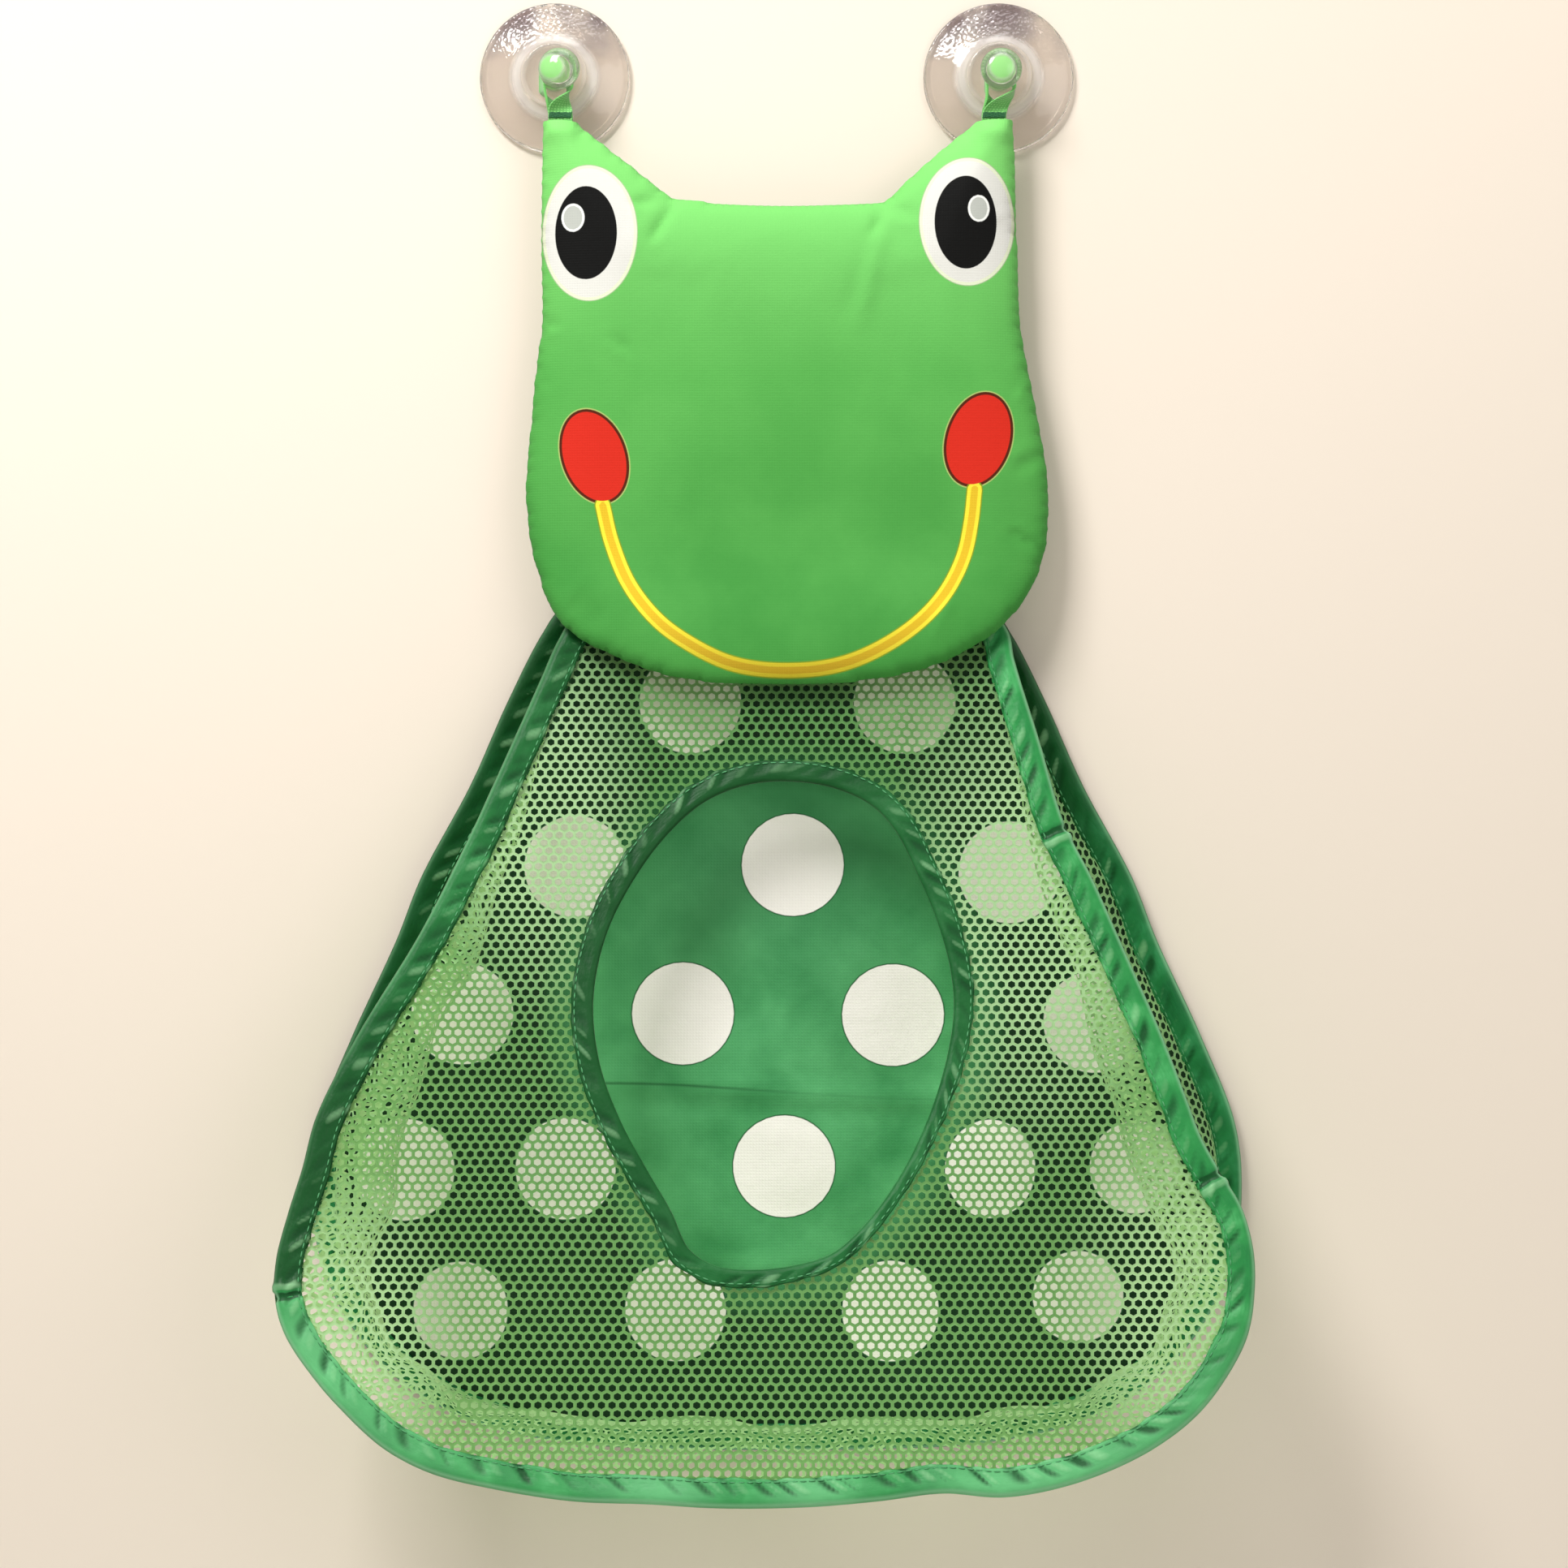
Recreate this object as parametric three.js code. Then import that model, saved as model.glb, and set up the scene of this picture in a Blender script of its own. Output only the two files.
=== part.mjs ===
// Bath toy organizer: a frog-headed mesh bag that hangs from two suction cups.
// Millimetres, +Z up, +X to the right, the front faces -Y and the wall is the plane y = 0.
// The origin is on the wall, halfway between the centres of the two cups.
import * as THREE from 'three';

// Tape, cloth and clearances
const GAP = 0.3;                 // between pieces that touch
const CLOTH = 0.5;               // mesh, back panel and gusset
const HEAD_CLOTH = 0.6;
const BINDING_CLOTH = 0.7;

// Suction cups
const CUP_SPACING = 162.5;
const CUP_D = 55;
const CUP_LIP = 1.2;             // thickness at the edge
const CUP_HOLLOW = 1.1;          // depth of the hollow when the cup is pressed on
const CUP_SEAL = 3.6;            // width of the flat ring on the wall
const HUB_D = 24;
const HUB_H = 8.0;               // from the wall to the hub's face
const NECK_D = 8.4;
const NECK_L = 9.8;
const KNOB_D = 15;
const KNOB_H = 4.8;
const LEFT_KNOB_LEAN = 3.6;      // the left knob is pulled sideways by its loop

// Hanging loops: a tape round the neck that turns a quarter and goes into the ear
const TAPE_W = 8.8;
const TAPE_T = 1.0;
const LOOP_TAIL = 12;            // length of tape inside the ear
const LOOP_LEGS_APART = 1.9;     // between the middles of the two legs in the ear

// Head: a flat cushion with two ears
const HEAD_W = 190.5;
const HEAD_H = 205.4;
const HEAD_TOP = -18;            // z of the ears' tips
const HEAD_DEPTH = 14;           // from the wall to the side seam, at the ears
const CHIN_CLEARANCE = 1.2;      // between the head's back and the front ring
const LEAN_ROUNDING = 2;         // softens the bend where the head leans out over the bag
const FRONT_CROWN = 8;
const BACK_CROWN = 2.5;
const CROWN_REACH = 30;          // from the seam to where the crown levels out
const MOUTH_FRONT = 5.2;         // the open ear tip round the loop
const MOUTH_BACK = 2.0;
const PAD_TOP_DROP = 18;         // the padding stops this far under the ears' tips

// Rings of spring wire in folded tape
const WIRE_R = 0.8;
const FERRULE_WALL = 0.4;
const FERRULE_L = 16;
const WIRE_END_GAP = 1;
const BEAD_ROOM = 0.45;          // between the ferrule and the fold of tape over it
const FLANGE_W = 7.0;            // from the wire to the tape's edge
const RING_TOP = -186;           // z of the wire's top in both rings
const BACK_RING_DEPTH = 3.3;     // from the wall to the back wire
const RING_STEP = 6.9;           // from the back wire to the front wire at the top
const BACK_RING_W = 335;
const BACK_RING_H = 313.5;
const FRONT_RING_W = 331;
const FRONT_TILT = THREE.MathUtils.degToRad(16.5);
const FRONT_RING_H = BACK_RING_H / Math.cos(FRONT_TILT); // both rings hang equally low

const FERRULE_R = WIRE_R + GAP + FERRULE_WALL;
const BEAD_R = FERRULE_R + BEAD_ROOM + BINDING_CLOTH;

// Oval opening in the front mesh
const OPENING_W = 129;
const OPENING_H = 178;
const OPENING_TOP = 73.5;        // down the front plane from the wire's top
const OPENING_TAPE_W = 6.0;
const OPENING_TAPE_BULGE = 1.25;

// Net of the front mesh
const NET_PITCH = 18;
const NET_HOLE_D = 13.0;
const NET_MARGIN = 3.5;

// Side wall of mesh between the two rings
const GUSSET_BOW_SHARE = 0.16;   // how far it bows into the bag, of its depth
const GUSSET_START_SHARE = 0.075; // of the way round the rings, from the top middle

// Back panel: how far down its middle lies, its belly and its cross fold
const PANEL_MIDDLE_SHARE = 0.6;
const BELLY_SHARE = 0.008;
const FOLD_DROP_SHARE = 0.585;
const FOLD_RISE_SHARE = 0.006;
const FOLD_HALF_SHARE = 0.022;

// Strip that joins the bag's top to the back of the head
const STRIP_W = 96;
const STRIP_T = 0.8;
const STRIP_RISE = 26;           // above the wires
const STRIP_DROP = 9;            // below the wires

// Head, clockwise from the left ear: x in shares of the width, z in shares of the
// height below the ears' tips. A true third value marks a corner.
const HEAD_SHARES = [
  [-0.447, 0.003, true], [-0.411, 0.003, true], [-0.375, 0.005, true],
  [-0.288, 0.068], [-0.197, 0.135, true],
  [-0.100, 0.143], [0.005, 0.147], [0.105, 0.145], [0.205, 0.140, true],
  [0.298, 0.061], [0.375, 0.004, true],
  [0.413, 0.002, true], [0.452, 0.000, true],
  [0.456, 0.047], [0.461, 0.218], [0.468, 0.362], [0.500, 0.522], [0.517, 0.618],
  [0.520, 0.719], [0.507, 0.784], [0.465, 0.859], [0.411, 0.911], [0.307, 0.965],
  [0.168, 0.994], [-0.038, 1.000], [-0.176, 0.991], [-0.279, 0.962], [-0.410, 0.891],
  [-0.464, 0.776], [-0.480, 0.648], [-0.470, 0.533], [-0.461, 0.433],
  [-0.450, 0.362], [-0.452, 0.219], [-0.449, 0.047],
];
const HEAD_MIDDLE_SHARES = [0.021, 0.50];

// Back ring, right half from the top down: half widths and drops in shares
const BACK_SHARES = [
  [0.125, 0.000], [0.182, 0.008], [0.228, 0.030], [0.250, 0.062], [0.287, 0.140],
  [0.327, 0.236], [0.381, 0.344], [0.408, 0.417], [0.457, 0.531], [0.493, 0.630],
  [0.500, 0.703], [0.491, 0.782], [0.457, 0.861], [0.402, 0.925], [0.322, 0.970],
  [0.216, 0.993], [0.102, 0.999],
];

// Front ring, from the top middle clockwise as seen from the front
const FRONT_SHARES = [
  [0.115, 0.000], [0.170, 0.008], [0.220, 0.028], [0.246, 0.058], [0.252, 0.090],
  [0.278, 0.186], [0.303, 0.280], [0.332, 0.343], [0.365, 0.425], [0.397, 0.505],
  [0.425, 0.585], [0.438, 0.624], [0.460, 0.668], [0.478, 0.700], [0.488, 0.740], [0.489, 0.778],
  [0.480, 0.830], [0.455, 0.876], [0.425, 0.912], [0.382, 0.944], [0.330, 0.969],
  [0.278, 0.985], [0.230, 0.992], [0.170, 0.988], [0.103, 0.996], [0.030, 1.002],
  [-0.060, 1.003], [-0.130, 0.999], [-0.206, 0.996], [-0.285, 0.984], [-0.350, 0.968],
  [-0.397, 0.944], [-0.440, 0.906], [-0.474, 0.868], [-0.501, 0.828], [-0.512, 0.792],
  [-0.512, 0.755], [-0.502, 0.708], [-0.489, 0.660], [-0.476, 0.603], [-0.436, 0.516],
  [-0.374, 0.405], [-0.322, 0.292], [-0.298, 0.234], [-0.252, 0.120], [-0.232, 0.070],
  [-0.208, 0.030], [-0.163, 0.008], [-0.112, 0.000],
];

// Oval opening, from its top clockwise as seen from the front
const OPENING_SHARES = [
  [0.015, 0.000], [0.150, 0.012], [0.265, 0.050], [0.335, 0.105], [0.395, 0.195],
  [0.450, 0.295], [0.486, 0.400], [0.492, 0.485], [0.463, 0.600], [0.405, 0.720],
  [0.325, 0.830], [0.235, 0.915], [0.155, 0.965], [0.060, 0.988], [-0.060, 0.998],
  [-0.165, 0.990], [-0.240, 0.955], [-0.290, 0.880], [-0.355, 0.800], [-0.430, 0.700],
  [-0.488, 0.585], [-0.508, 0.460], [-0.478, 0.330], [-0.410, 0.220], [-0.310, 0.115],
  [-0.205, 0.045], [-0.095, 0.010],
];

// Rings of points from a cloth's edge to its middle
const CUSHION_RING_SHARES = [1, 0.965, 0.91, 0.8, 0.5];
const PADDING_RING_SHARES = [0.965, 0.8, 0.5];
const PANEL_RING_SHARES = [1, 0.82, 0.52, 0.25];
const HEAD_STEP_SHARE = 0.08;    // step along the head's edge, of its width

const RING_STEPS = 68;
const OPENING_STEPS = 40;
const CUP_STEPS = 28;

const backWireY = -BACK_RING_DEPTH;
const frontTopY = backWireY - RING_STEP;

// A point of the back ring's plane: across, down from the wire's top, out of it
const onBack = (x, drop, out) => new THREE.Vector3(x, backWireY - out, RING_TOP - drop);

// The same on the front ring's plane, which tilts away from the wall
const sinTilt = Math.sin(FRONT_TILT);
const cosTilt = Math.cos(FRONT_TILT);
const onFront = (x, drop, out) => new THREE.Vector3(
  x,
  frontTopY - drop * sinTilt - out * cosTilt,
  RING_TOP - drop * cosTilt + out * sinTilt,
);

const smooth = (t) => {
  const s = THREE.MathUtils.clamp(t, 0, 1);
  return s * s * (3 - 2 * s);
};

// A closed curve through the points, at equal steps along it
function evenLoop(points, steps) {
  const curve = new THREE.CatmullRomCurve3(
    points.map(([x, d]) => new THREE.Vector3(x, d, 0)), true, 'centripetal');
  curve.arcLengthDivisions = 1200;
  return curve.getSpacedPoints(steps).slice(0, steps).map((p) => [p.x, p.y]);
}

// Outward normals of a closed loop of plane points
function outward(loop) {
  const n = loop.length;
  let area = 0;
  for (let i = 0; i < n; i++) {
    const [x0, d0] = loop[i];
    const [x1, d1] = loop[(i + 1) % n];
    area += x0 * d1 - x1 * d0;
  }
  const side = Math.sign(area);
  return loop.map((_, i) => {
    const [x0, d0] = loop[(i + n - 1) % n];
    const [x1, d1] = loop[(i + 1) % n];
    const l = Math.hypot(x1 - x0, d1 - d0);
    return [(side * (d1 - d0)) / l, (-side * (x1 - x0)) / l];
  });
}

const inset = (loop, by) => {
  const normals = outward(loop);
  return loop.map(([x, d], i) => [x - by * normals[i][0], d - by * normals[i][1]]);
};

// A closed solid from rows of points: each row is joined to the next
function solidFromRows(rows, { closedRows, caps }) {
  const width = rows[0].length;
  const positions = rows.flat().flatMap((p) => [p.x, p.y, p.z]);
  const index = [];
  const last = closedRows ? rows.length : rows.length - 1;
  for (let r = 0; r < last; r++) {
    const next = (r + 1) % rows.length;
    for (let i = 0; i < width; i++) {
      const a = r * width + i;
      const b = r * width + ((i + 1) % width);
      const c = next * width + ((i + 1) % width);
      const d = next * width + i;
      index.push(a, b, c, a, c, d);
    }
  }
  for (const cap of caps ? [0, rows.length - 1] : []) {
    const flat = THREE.ShapeUtils.triangulateShape(caps, []);
    for (const [a, b, c] of flat) {
      const base = cap * width;
      if (cap === 0) index.push(base + a, base + c, base + b);
      else index.push(base + a, base + b, base + c);
    }
  }
  return facingOut(positions, index);
}

// Turns every triangle over if the solid came out inside out
function facingOut(positions, index) {
  let volume = 0;
  const at = (i) => new THREE.Vector3().fromArray(positions, 3 * i);
  for (let i = 0; i < index.length; i += 3) {
    const [a, b, c] = [at(index[i]), at(index[i + 1]), at(index[i + 2])];
    volume += a.dot(b.cross(c));
  }
  if (volume < 0) {
    for (let i = 0; i < index.length; i += 3) {
      [index[i + 1], index[i + 2]] = [index[i + 2], index[i + 1]];
    }
  }
  const geometry = new THREE.BufferGeometry();
  geometry.setAttribute('position', new THREE.Float32BufferAttribute(positions, 3));
  geometry.setIndex(index);
  geometry.computeVertexNormals();
  return geometry;
}

// A thin closed sheet between two grids of points that share one layout
function sheetFromGrids(front, back, { closed }) {
  const rows = front.length;
  const columns = front[0].length;
  const positions = [...front.flat(), ...back.flat()].flatMap((p) => [p.x, p.y, p.z]);
  const index = [];
  const at = (side, r, c) => side * rows * columns + r * columns + c;
  const turns = closed ? columns : columns - 1;
  const quad = (a, b, c, d) => index.push(a, b, c, a, c, d);
  for (let r = 0; r < rows - 1; r++) {
    for (let c = 0; c < turns; c++) {
      const n = (c + 1) % columns;
      quad(at(0, r, c), at(0, r, n), at(0, r + 1, n), at(0, r + 1, c));
      quad(at(1, r, c), at(1, r + 1, c), at(1, r + 1, n), at(1, r, n));
    }
  }
  for (let c = 0; c < turns; c++) {
    const n = (c + 1) % columns;
    quad(at(0, 0, c), at(1, 0, c), at(1, 0, n), at(0, 0, n));
    quad(at(0, rows - 1, c), at(0, rows - 1, n), at(1, rows - 1, n), at(1, rows - 1, c));
  }
  if (!closed) {
    for (let r = 0; r < rows - 1; r++) {
      quad(at(0, r, 0), at(0, r + 1, 0), at(1, r + 1, 0), at(1, r, 0));
      const e = columns - 1;
      quad(at(0, r, e), at(1, r, e), at(1, r + 1, e), at(0, r + 1, e));
    }
  }
  return facingOut(positions, index);
}

// A closed slab over an outline: rings of points shrink to one middle point
function slabFromRings(outline, middle, shares, frontAt, backAt) {
  const n = outline.length;
  const points = [];
  const index = [];
  for (const at of [frontAt, backAt]) {
    for (const share of shares) {
      for (const [x, z] of outline) {
        points.push(at(middle[0] + share * (x - middle[0]), middle[1] + share * (z - middle[1])));
      }
    }
    points.push(at(middle[0], middle[1]));
  }
  const side = shares.length * n + 1;
  const quad = (a, b, c, d) => index.push(a, b, c, a, c, d);
  for (let i = 0; i < n; i++) {
    const j = (i + 1) % n;
    for (let r = 0; r < shares.length - 1; r++) {
      quad(r * n + i, r * n + j, (r + 1) * n + j, (r + 1) * n + i);
      quad(side + r * n + j, side + r * n + i, side + (r + 1) * n + i, side + (r + 1) * n + j);
    }
    const inner = (shares.length - 1) * n;
    index.push(inner + i, inner + j, side - 1);
    index.push(side + inner + j, side + inner + i, 2 * side - 1);
    quad(i, side + i, side + j, j);
  }
  return facingOut(points.flatMap((p) => [p.x, p.y, p.z]), index);
}

const group = new THREE.Group();
group.name = 'bath_toy_organizer';

function add(name, geometry, colour, options = {}) {
  const material = new THREE.MeshStandardMaterial({ color: colour, roughness: 0.8, ...options });
  material.name = name;
  const mesh = new THREE.Mesh(geometry, material);
  mesh.name = name;
  group.add(mesh);
  return mesh;
}

const LIGHT_GREEN = '#6cc65c';
const MESH_GREEN = '#a5cf86';
const DARK_GREEN = '#2f8f4e';

// Suction cups

// The cup's shape is turned about its own axis: radius, then height off the wall
function cupGeometry(centreX, lean) {
  const R = CUP_D / 2;
  const hubR = HUB_D / 2;
  const neckR = NECK_D / 2;
  const knobR = KNOB_D / 2;
  const neckTop = HUB_H + NECK_L;
  const profile = [
    [0, CUP_HOLLOW], [R * 0.5, CUP_HOLLOW * 0.9], [R - CUP_SEAL, 0], [R, 0], [R, CUP_LIP * 0.55],
    [R - CUP_LIP * 0.4, CUP_LIP], [R * 0.78, CUP_LIP * 2.1], [R * 0.6, HUB_H * 0.52],
    [hubR * 1.08, HUB_H * 0.74], [hubR, HUB_H * 0.92], [hubR * 0.93, HUB_H],
    [neckR * 1.12, HUB_H], [neckR, HUB_H + 0.03 * NECK_L], [neckR, neckTop],
    [knobR * 0.94, neckTop], [knobR, neckTop + 0.2 * KNOB_H], [knobR * 0.93, neckTop + 0.5 * KNOB_H],
    [knobR * 0.62, neckTop + 0.88 * KNOB_H], [0, neckTop + KNOB_H],
  ].map(([r, h]) => new THREE.Vector2(r, h));
  const turned = new THREE.LatheGeometry(profile, CUP_STEPS);
  const position = turned.attributes.position;
  const full = HUB_H + NECK_L + KNOB_H;
  const points = [];
  for (let i = 0; i < position.count; i++) {
    const h = position.getY(i);
    const pull = lean * Math.max(0, (h - HUB_H) / (full - HUB_H));
    points.push(centreX + position.getX(i) + pull, -h, position.getZ(i));
  }
  return weld(points, Array.from(turned.index.array));
}

// Joins points that lie on each other and drops triangles that become a line
function weld(positions, index) {
  const known = new Map();
  const kept = [];
  const to = [];
  for (let i = 0; i < positions.length; i += 3) {
    const p = positions.slice(i, i + 3);
    const key = p.map((v) => Math.round(v * 1e4)).join(' ');
    if (!known.has(key)) {
      known.set(key, kept.length / 3);
      kept.push(...p);
    }
    to.push(known.get(key));
  }
  const triangles = [];
  for (let i = 0; i < index.length; i += 3) {
    const [a, b, c] = [to[index[i]], to[index[i + 1]], to[index[i + 2]]];
    if (a !== b && b !== c && a !== c) triangles.push(a, b, c);
  }
  return facingOut(kept, triangles);
}

const clear = { roughness: 0.12, transparent: true, opacity: 0.4 };
add('left_suction_cup', cupGeometry(-CUP_SPACING / 2, LEFT_KNOB_LEAN), '#e6dcd8', clear);
add('right_suction_cup', cupGeometry(CUP_SPACING / 2, 0), '#e6dcd8', clear);

// Head

const headPoint = ([sx, sz]) => [sx * HEAD_W, HEAD_TOP - sz * HEAD_H];
const headMiddle = headPoint(HEAD_MIDDLE_SHARES);

// Straight between corners, curved through the points between them
function headOutline() {
  const points = HEAD_SHARES.map(headPoint);
  const corners = HEAD_SHARES.map((s, i) => (s[2] ? i : -1)).filter((i) => i >= 0);
  const outline = [];
  corners.forEach((from, k) => {
    const to = corners[(k + 1) % corners.length];
    const count = (to - from + points.length) % points.length;
    const run = Array.from({ length: count + 1 }, (_, i) => points[(from + i) % points.length]);
    if (count === 1) {
      const [[ax, az], [bx, bz]] = run;
      for (const t of [0, 1 / 3, 2 / 3]) outline.push([ax + t * (bx - ax), az + t * (bz - az)]);
      return;
    }
    const curve = new THREE.CatmullRomCurve3(
      run.map(([x, z]) => new THREE.Vector3(x, z, 0)), false, 'centripetal');
    const steps = Math.max(4, Math.round(curve.getLength() / (HEAD_W * HEAD_STEP_SHARE)));
    for (const p of curve.getSpacedPoints(steps).slice(0, steps)) outline.push([p.x, p.y]);
  });
  return outline;
}
const headEdge = headOutline();

function distanceToEdge(x, z) {
  let best = Infinity;
  headEdge.forEach(([ax, az], i) => {
    const [bx, bz] = headEdge[(i + 1) % headEdge.length];
    const [dx, dz] = [bx - ax, bz - az];
    const t = THREE.MathUtils.clamp(((x - ax) * dx + (z - az) * dz) / (dx * dx + dz * dz), 0, 1);
    best = Math.min(best, Math.hypot(x - ax - t * dx, z - az - t * dz));
  });
  return best;
}

// The seam's depth: upright at the ears, leaning out so that the chin clears the front ring
const chinStandOff = BEAD_R + CHIN_CLEARANCE + BACK_CROWN + HEAD_CLOTH;
const seamDepth = (z) => {
  const frontDepth = -frontTopY + ((RING_TOP - z) * sinTilt) / cosTilt;
  const lean = frontDepth + chinStandOff - HEAD_DEPTH;
  return HEAD_DEPTH + (lean + Math.hypot(lean, 2 * LEAN_ROUNDING)) / 2;
};

// How full the cushion is, and how far an ear's tip stands open round its loop
const crown = (x, z) => {
  const t = Math.min(1, distanceToEdge(x, z) / CROWN_REACH);
  return Math.sqrt(Math.max(0, 1 - (1 - t) * (1 - t)));
};
const EAR_MOUTHS = [[0, 2], [10, 12]].map(([a, b]) => {
  const [ax] = headPoint(HEAD_SHARES[a]);
  const [bx] = headPoint(HEAD_SHARES[b]);
  return { x: (ax + bx) / 2, half: Math.abs(bx - ax) / 2 };
});
const mouth = (x, z) => EAR_MOUTHS.reduce((sum, ear) => {
  const across = 1 - ((x - ear.x) / ear.half) ** 2;
  const down = (HEAD_TOP - z) / (0.5 * LOOP_TAIL);
  return sum + Math.sqrt(Math.max(0, across)) * Math.exp(-down * down);
}, 0);

const frontInner = (x, z) => seamDepth(z) + GAP / 2 + FRONT_CROWN * crown(x, z)
  + MOUTH_FRONT * mouth(x, z);
const backInner = (x, z) => seamDepth(z) - GAP / 2 - BACK_CROWN * crown(x, z)
  - MOUTH_BACK * mouth(x, z);
const at = (x, z, depth) => new THREE.Vector3(x, -depth, z);

// Both cloths share their rings of points, so they stay parallel
add('head_front_panel', slabFromRings(headEdge, headMiddle, CUSHION_RING_SHARES,
  (x, z) => at(x, z, frontInner(x, z) + HEAD_CLOTH),
  (x, z) => at(x, z, frontInner(x, z))), LIGHT_GREEN);
add('head_back_panel', slabFromRings(headEdge, headMiddle, CUSHION_RING_SHARES,
  (x, z) => at(x, z, backInner(x, z)),
  (x, z) => at(x, z, backInner(x, z) - HEAD_CLOTH)), LIGHT_GREEN);

// The padding fills the cushion and leaves the ears' tips free for the loops
const padTop = HEAD_TOP - PAD_TOP_DROP;
const padEdge = headEdge.map(([x, z]) => [x, Math.min(padTop, z)]);
const PAD_ROOM = 2.6 * GAP;
const padFront = (x, z) => Math.max(seamDepth(z) + GAP, frontInner(x, z) - PAD_ROOM);
const padBack = (x, z) => Math.min(seamDepth(z) - GAP, backInner(x, z) + PAD_ROOM);
add('head_padding', slabFromRings(padEdge, headMiddle, PADDING_RING_SHARES,
  (x, z) => at(x, z, padFront(x, z)), (x, z) => at(x, z, padBack(x, z))), '#f1f0ea');

// Hanging loops

// The tape climbs out of the ear, turns a quarter, rounds the neck and comes back
function loopGeometry(ear, centreX, lean) {
  const neckDepth = HUB_H + NECK_L / 2;
  const full = NECK_L + KNOB_H;
  const neckX = centreX + (lean * (neckDepth - HUB_H)) / full;
  const earDepth = HEAD_DEPTH + 0.35 * (MOUTH_FRONT - MOUTH_BACK);
  const rise = NECK_D / 2 + GAP + TAPE_T / 2;
  const bottom = HEAD_TOP - LOOP_TAIL;
  const rows = [];
  const section = [[-1, -1], [1, -1], [1, 1], [-1, 1]];
  const push = (centre, wide, thin) => rows.push(section.map(([w, t]) => centre.clone()
    .addScaledVector(wide, (w * TAPE_W) / 2).addScaledVector(thin, (t * TAPE_T) / 2)));
  const turnFrom = HEAD_TOP + TAPE_T;
  const turnTo = -NECK_D / 2 - 2 * TAPE_T;
  const leg = (sign, z) => {
    const t = smooth((z - turnFrom) / (turnTo - turnFrom));
    const turn = (t * Math.PI) / 2;
    const apart = THREE.MathUtils.lerp(LOOP_LEGS_APART / 2, rise, t * t);
    const x = THREE.MathUtils.lerp(ear.x, neckX, t);
    const depth = THREE.MathUtils.lerp(earDepth, neckDepth, t * t * t);
    const thin = new THREE.Vector3(Math.sin(turn), -Math.cos(turn), 0).multiplyScalar(sign);
    const wide = new THREE.Vector3(Math.cos(turn), Math.sin(turn), 0);
    wide.x -= (t * wide.y * lean) / full;
    push(new THREE.Vector3(x, -depth, z).addScaledVector(thin, apart), wide, thin);
  };
  const climbShares = [0, 0.38, 0.46, 0.54, 0.62, 0.7, 0.79, 0.87, 1];
  for (const share of climbShares) leg(1, bottom * (1 - share));
  const ARC = 8;
  for (let i = 1; i < ARC; i++) {
    const a = (i / ARC) * Math.PI;
    const thin = new THREE.Vector3(Math.cos(a), 0, Math.sin(a));
    push(new THREE.Vector3(neckX, -neckDepth, 0).addScaledVector(thin, rise),
      new THREE.Vector3(-lean / full, 1, 0), thin);
  }
  for (const share of [...climbShares].reverse()) leg(-1, bottom * (1 - share));
  const corner = section.map(([w, t]) => new THREE.Vector2(w, t));
  return solidFromRows(rows, { closedRows: false, caps: corner });
}
add('left_hang_loop', loopGeometry(EAR_MOUTHS[0], -CUP_SPACING / 2, LEFT_KNOB_LEAN), '#7ccf66');
add('right_hang_loop', loopGeometry(EAR_MOUTHS[1], CUP_SPACING / 2, 0), '#7ccf66');

// The two rings

const right = BACK_SHARES.map(([x, d]) => [x * BACK_RING_W, d * BACK_RING_H]);
const left = right.map(([x, d]) => [-x, d]).reverse();
const backLoop = evenLoop([[0, 0], ...right, [0, BACK_RING_H], ...left], RING_STEPS);
const frontLoop = evenLoop(
  FRONT_SHARES.map(([x, d]) => [x * FRONT_RING_W, d * FRONT_RING_H]), RING_STEPS);

// Folded tape: a bead over the wire and two flanges that hold the cloth's edge
const inR = BEAD_R - BINDING_CLOTH;
const slot = CLOTH / 2 + GAP;
const BINDING_SECTION = [
  [-FLANGE_W, slot + BINDING_CLOTH], [-0.6 * BEAD_R, 0.93 * BEAD_R], [0.5 * BEAD_R, 0.87 * BEAD_R],
  [BEAD_R, 0], [0.5 * BEAD_R, -0.87 * BEAD_R], [-0.6 * BEAD_R, -0.93 * BEAD_R],
  [-FLANGE_W, -slot - BINDING_CLOTH], [-FLANGE_W, -slot], [-0.6 * BEAD_R, -0.9 * inR],
  [0.5 * inR, -0.87 * inR], [inR, 0], [0.5 * inR, 0.87 * inR], [-0.6 * BEAD_R, 0.9 * inR],
  [-FLANGE_W, slot],
];

function sweptRing(loop, onPlane, section) {
  const normals = outward(loop);
  const rows = loop.map(([x, d], i) => section.map(([u, v]) => (
    onPlane(x + u * normals[i][0], d + u * normals[i][1], v))));
  return solidFromRows(rows, { closedRows: true, caps: null });
}

const circle = (radius, sides) => Array.from({ length: sides }, (_, i) => [
  radius * Math.cos((2 * Math.PI * i) / sides), radius * Math.sin((2 * Math.PI * i) / sides)]);

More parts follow.
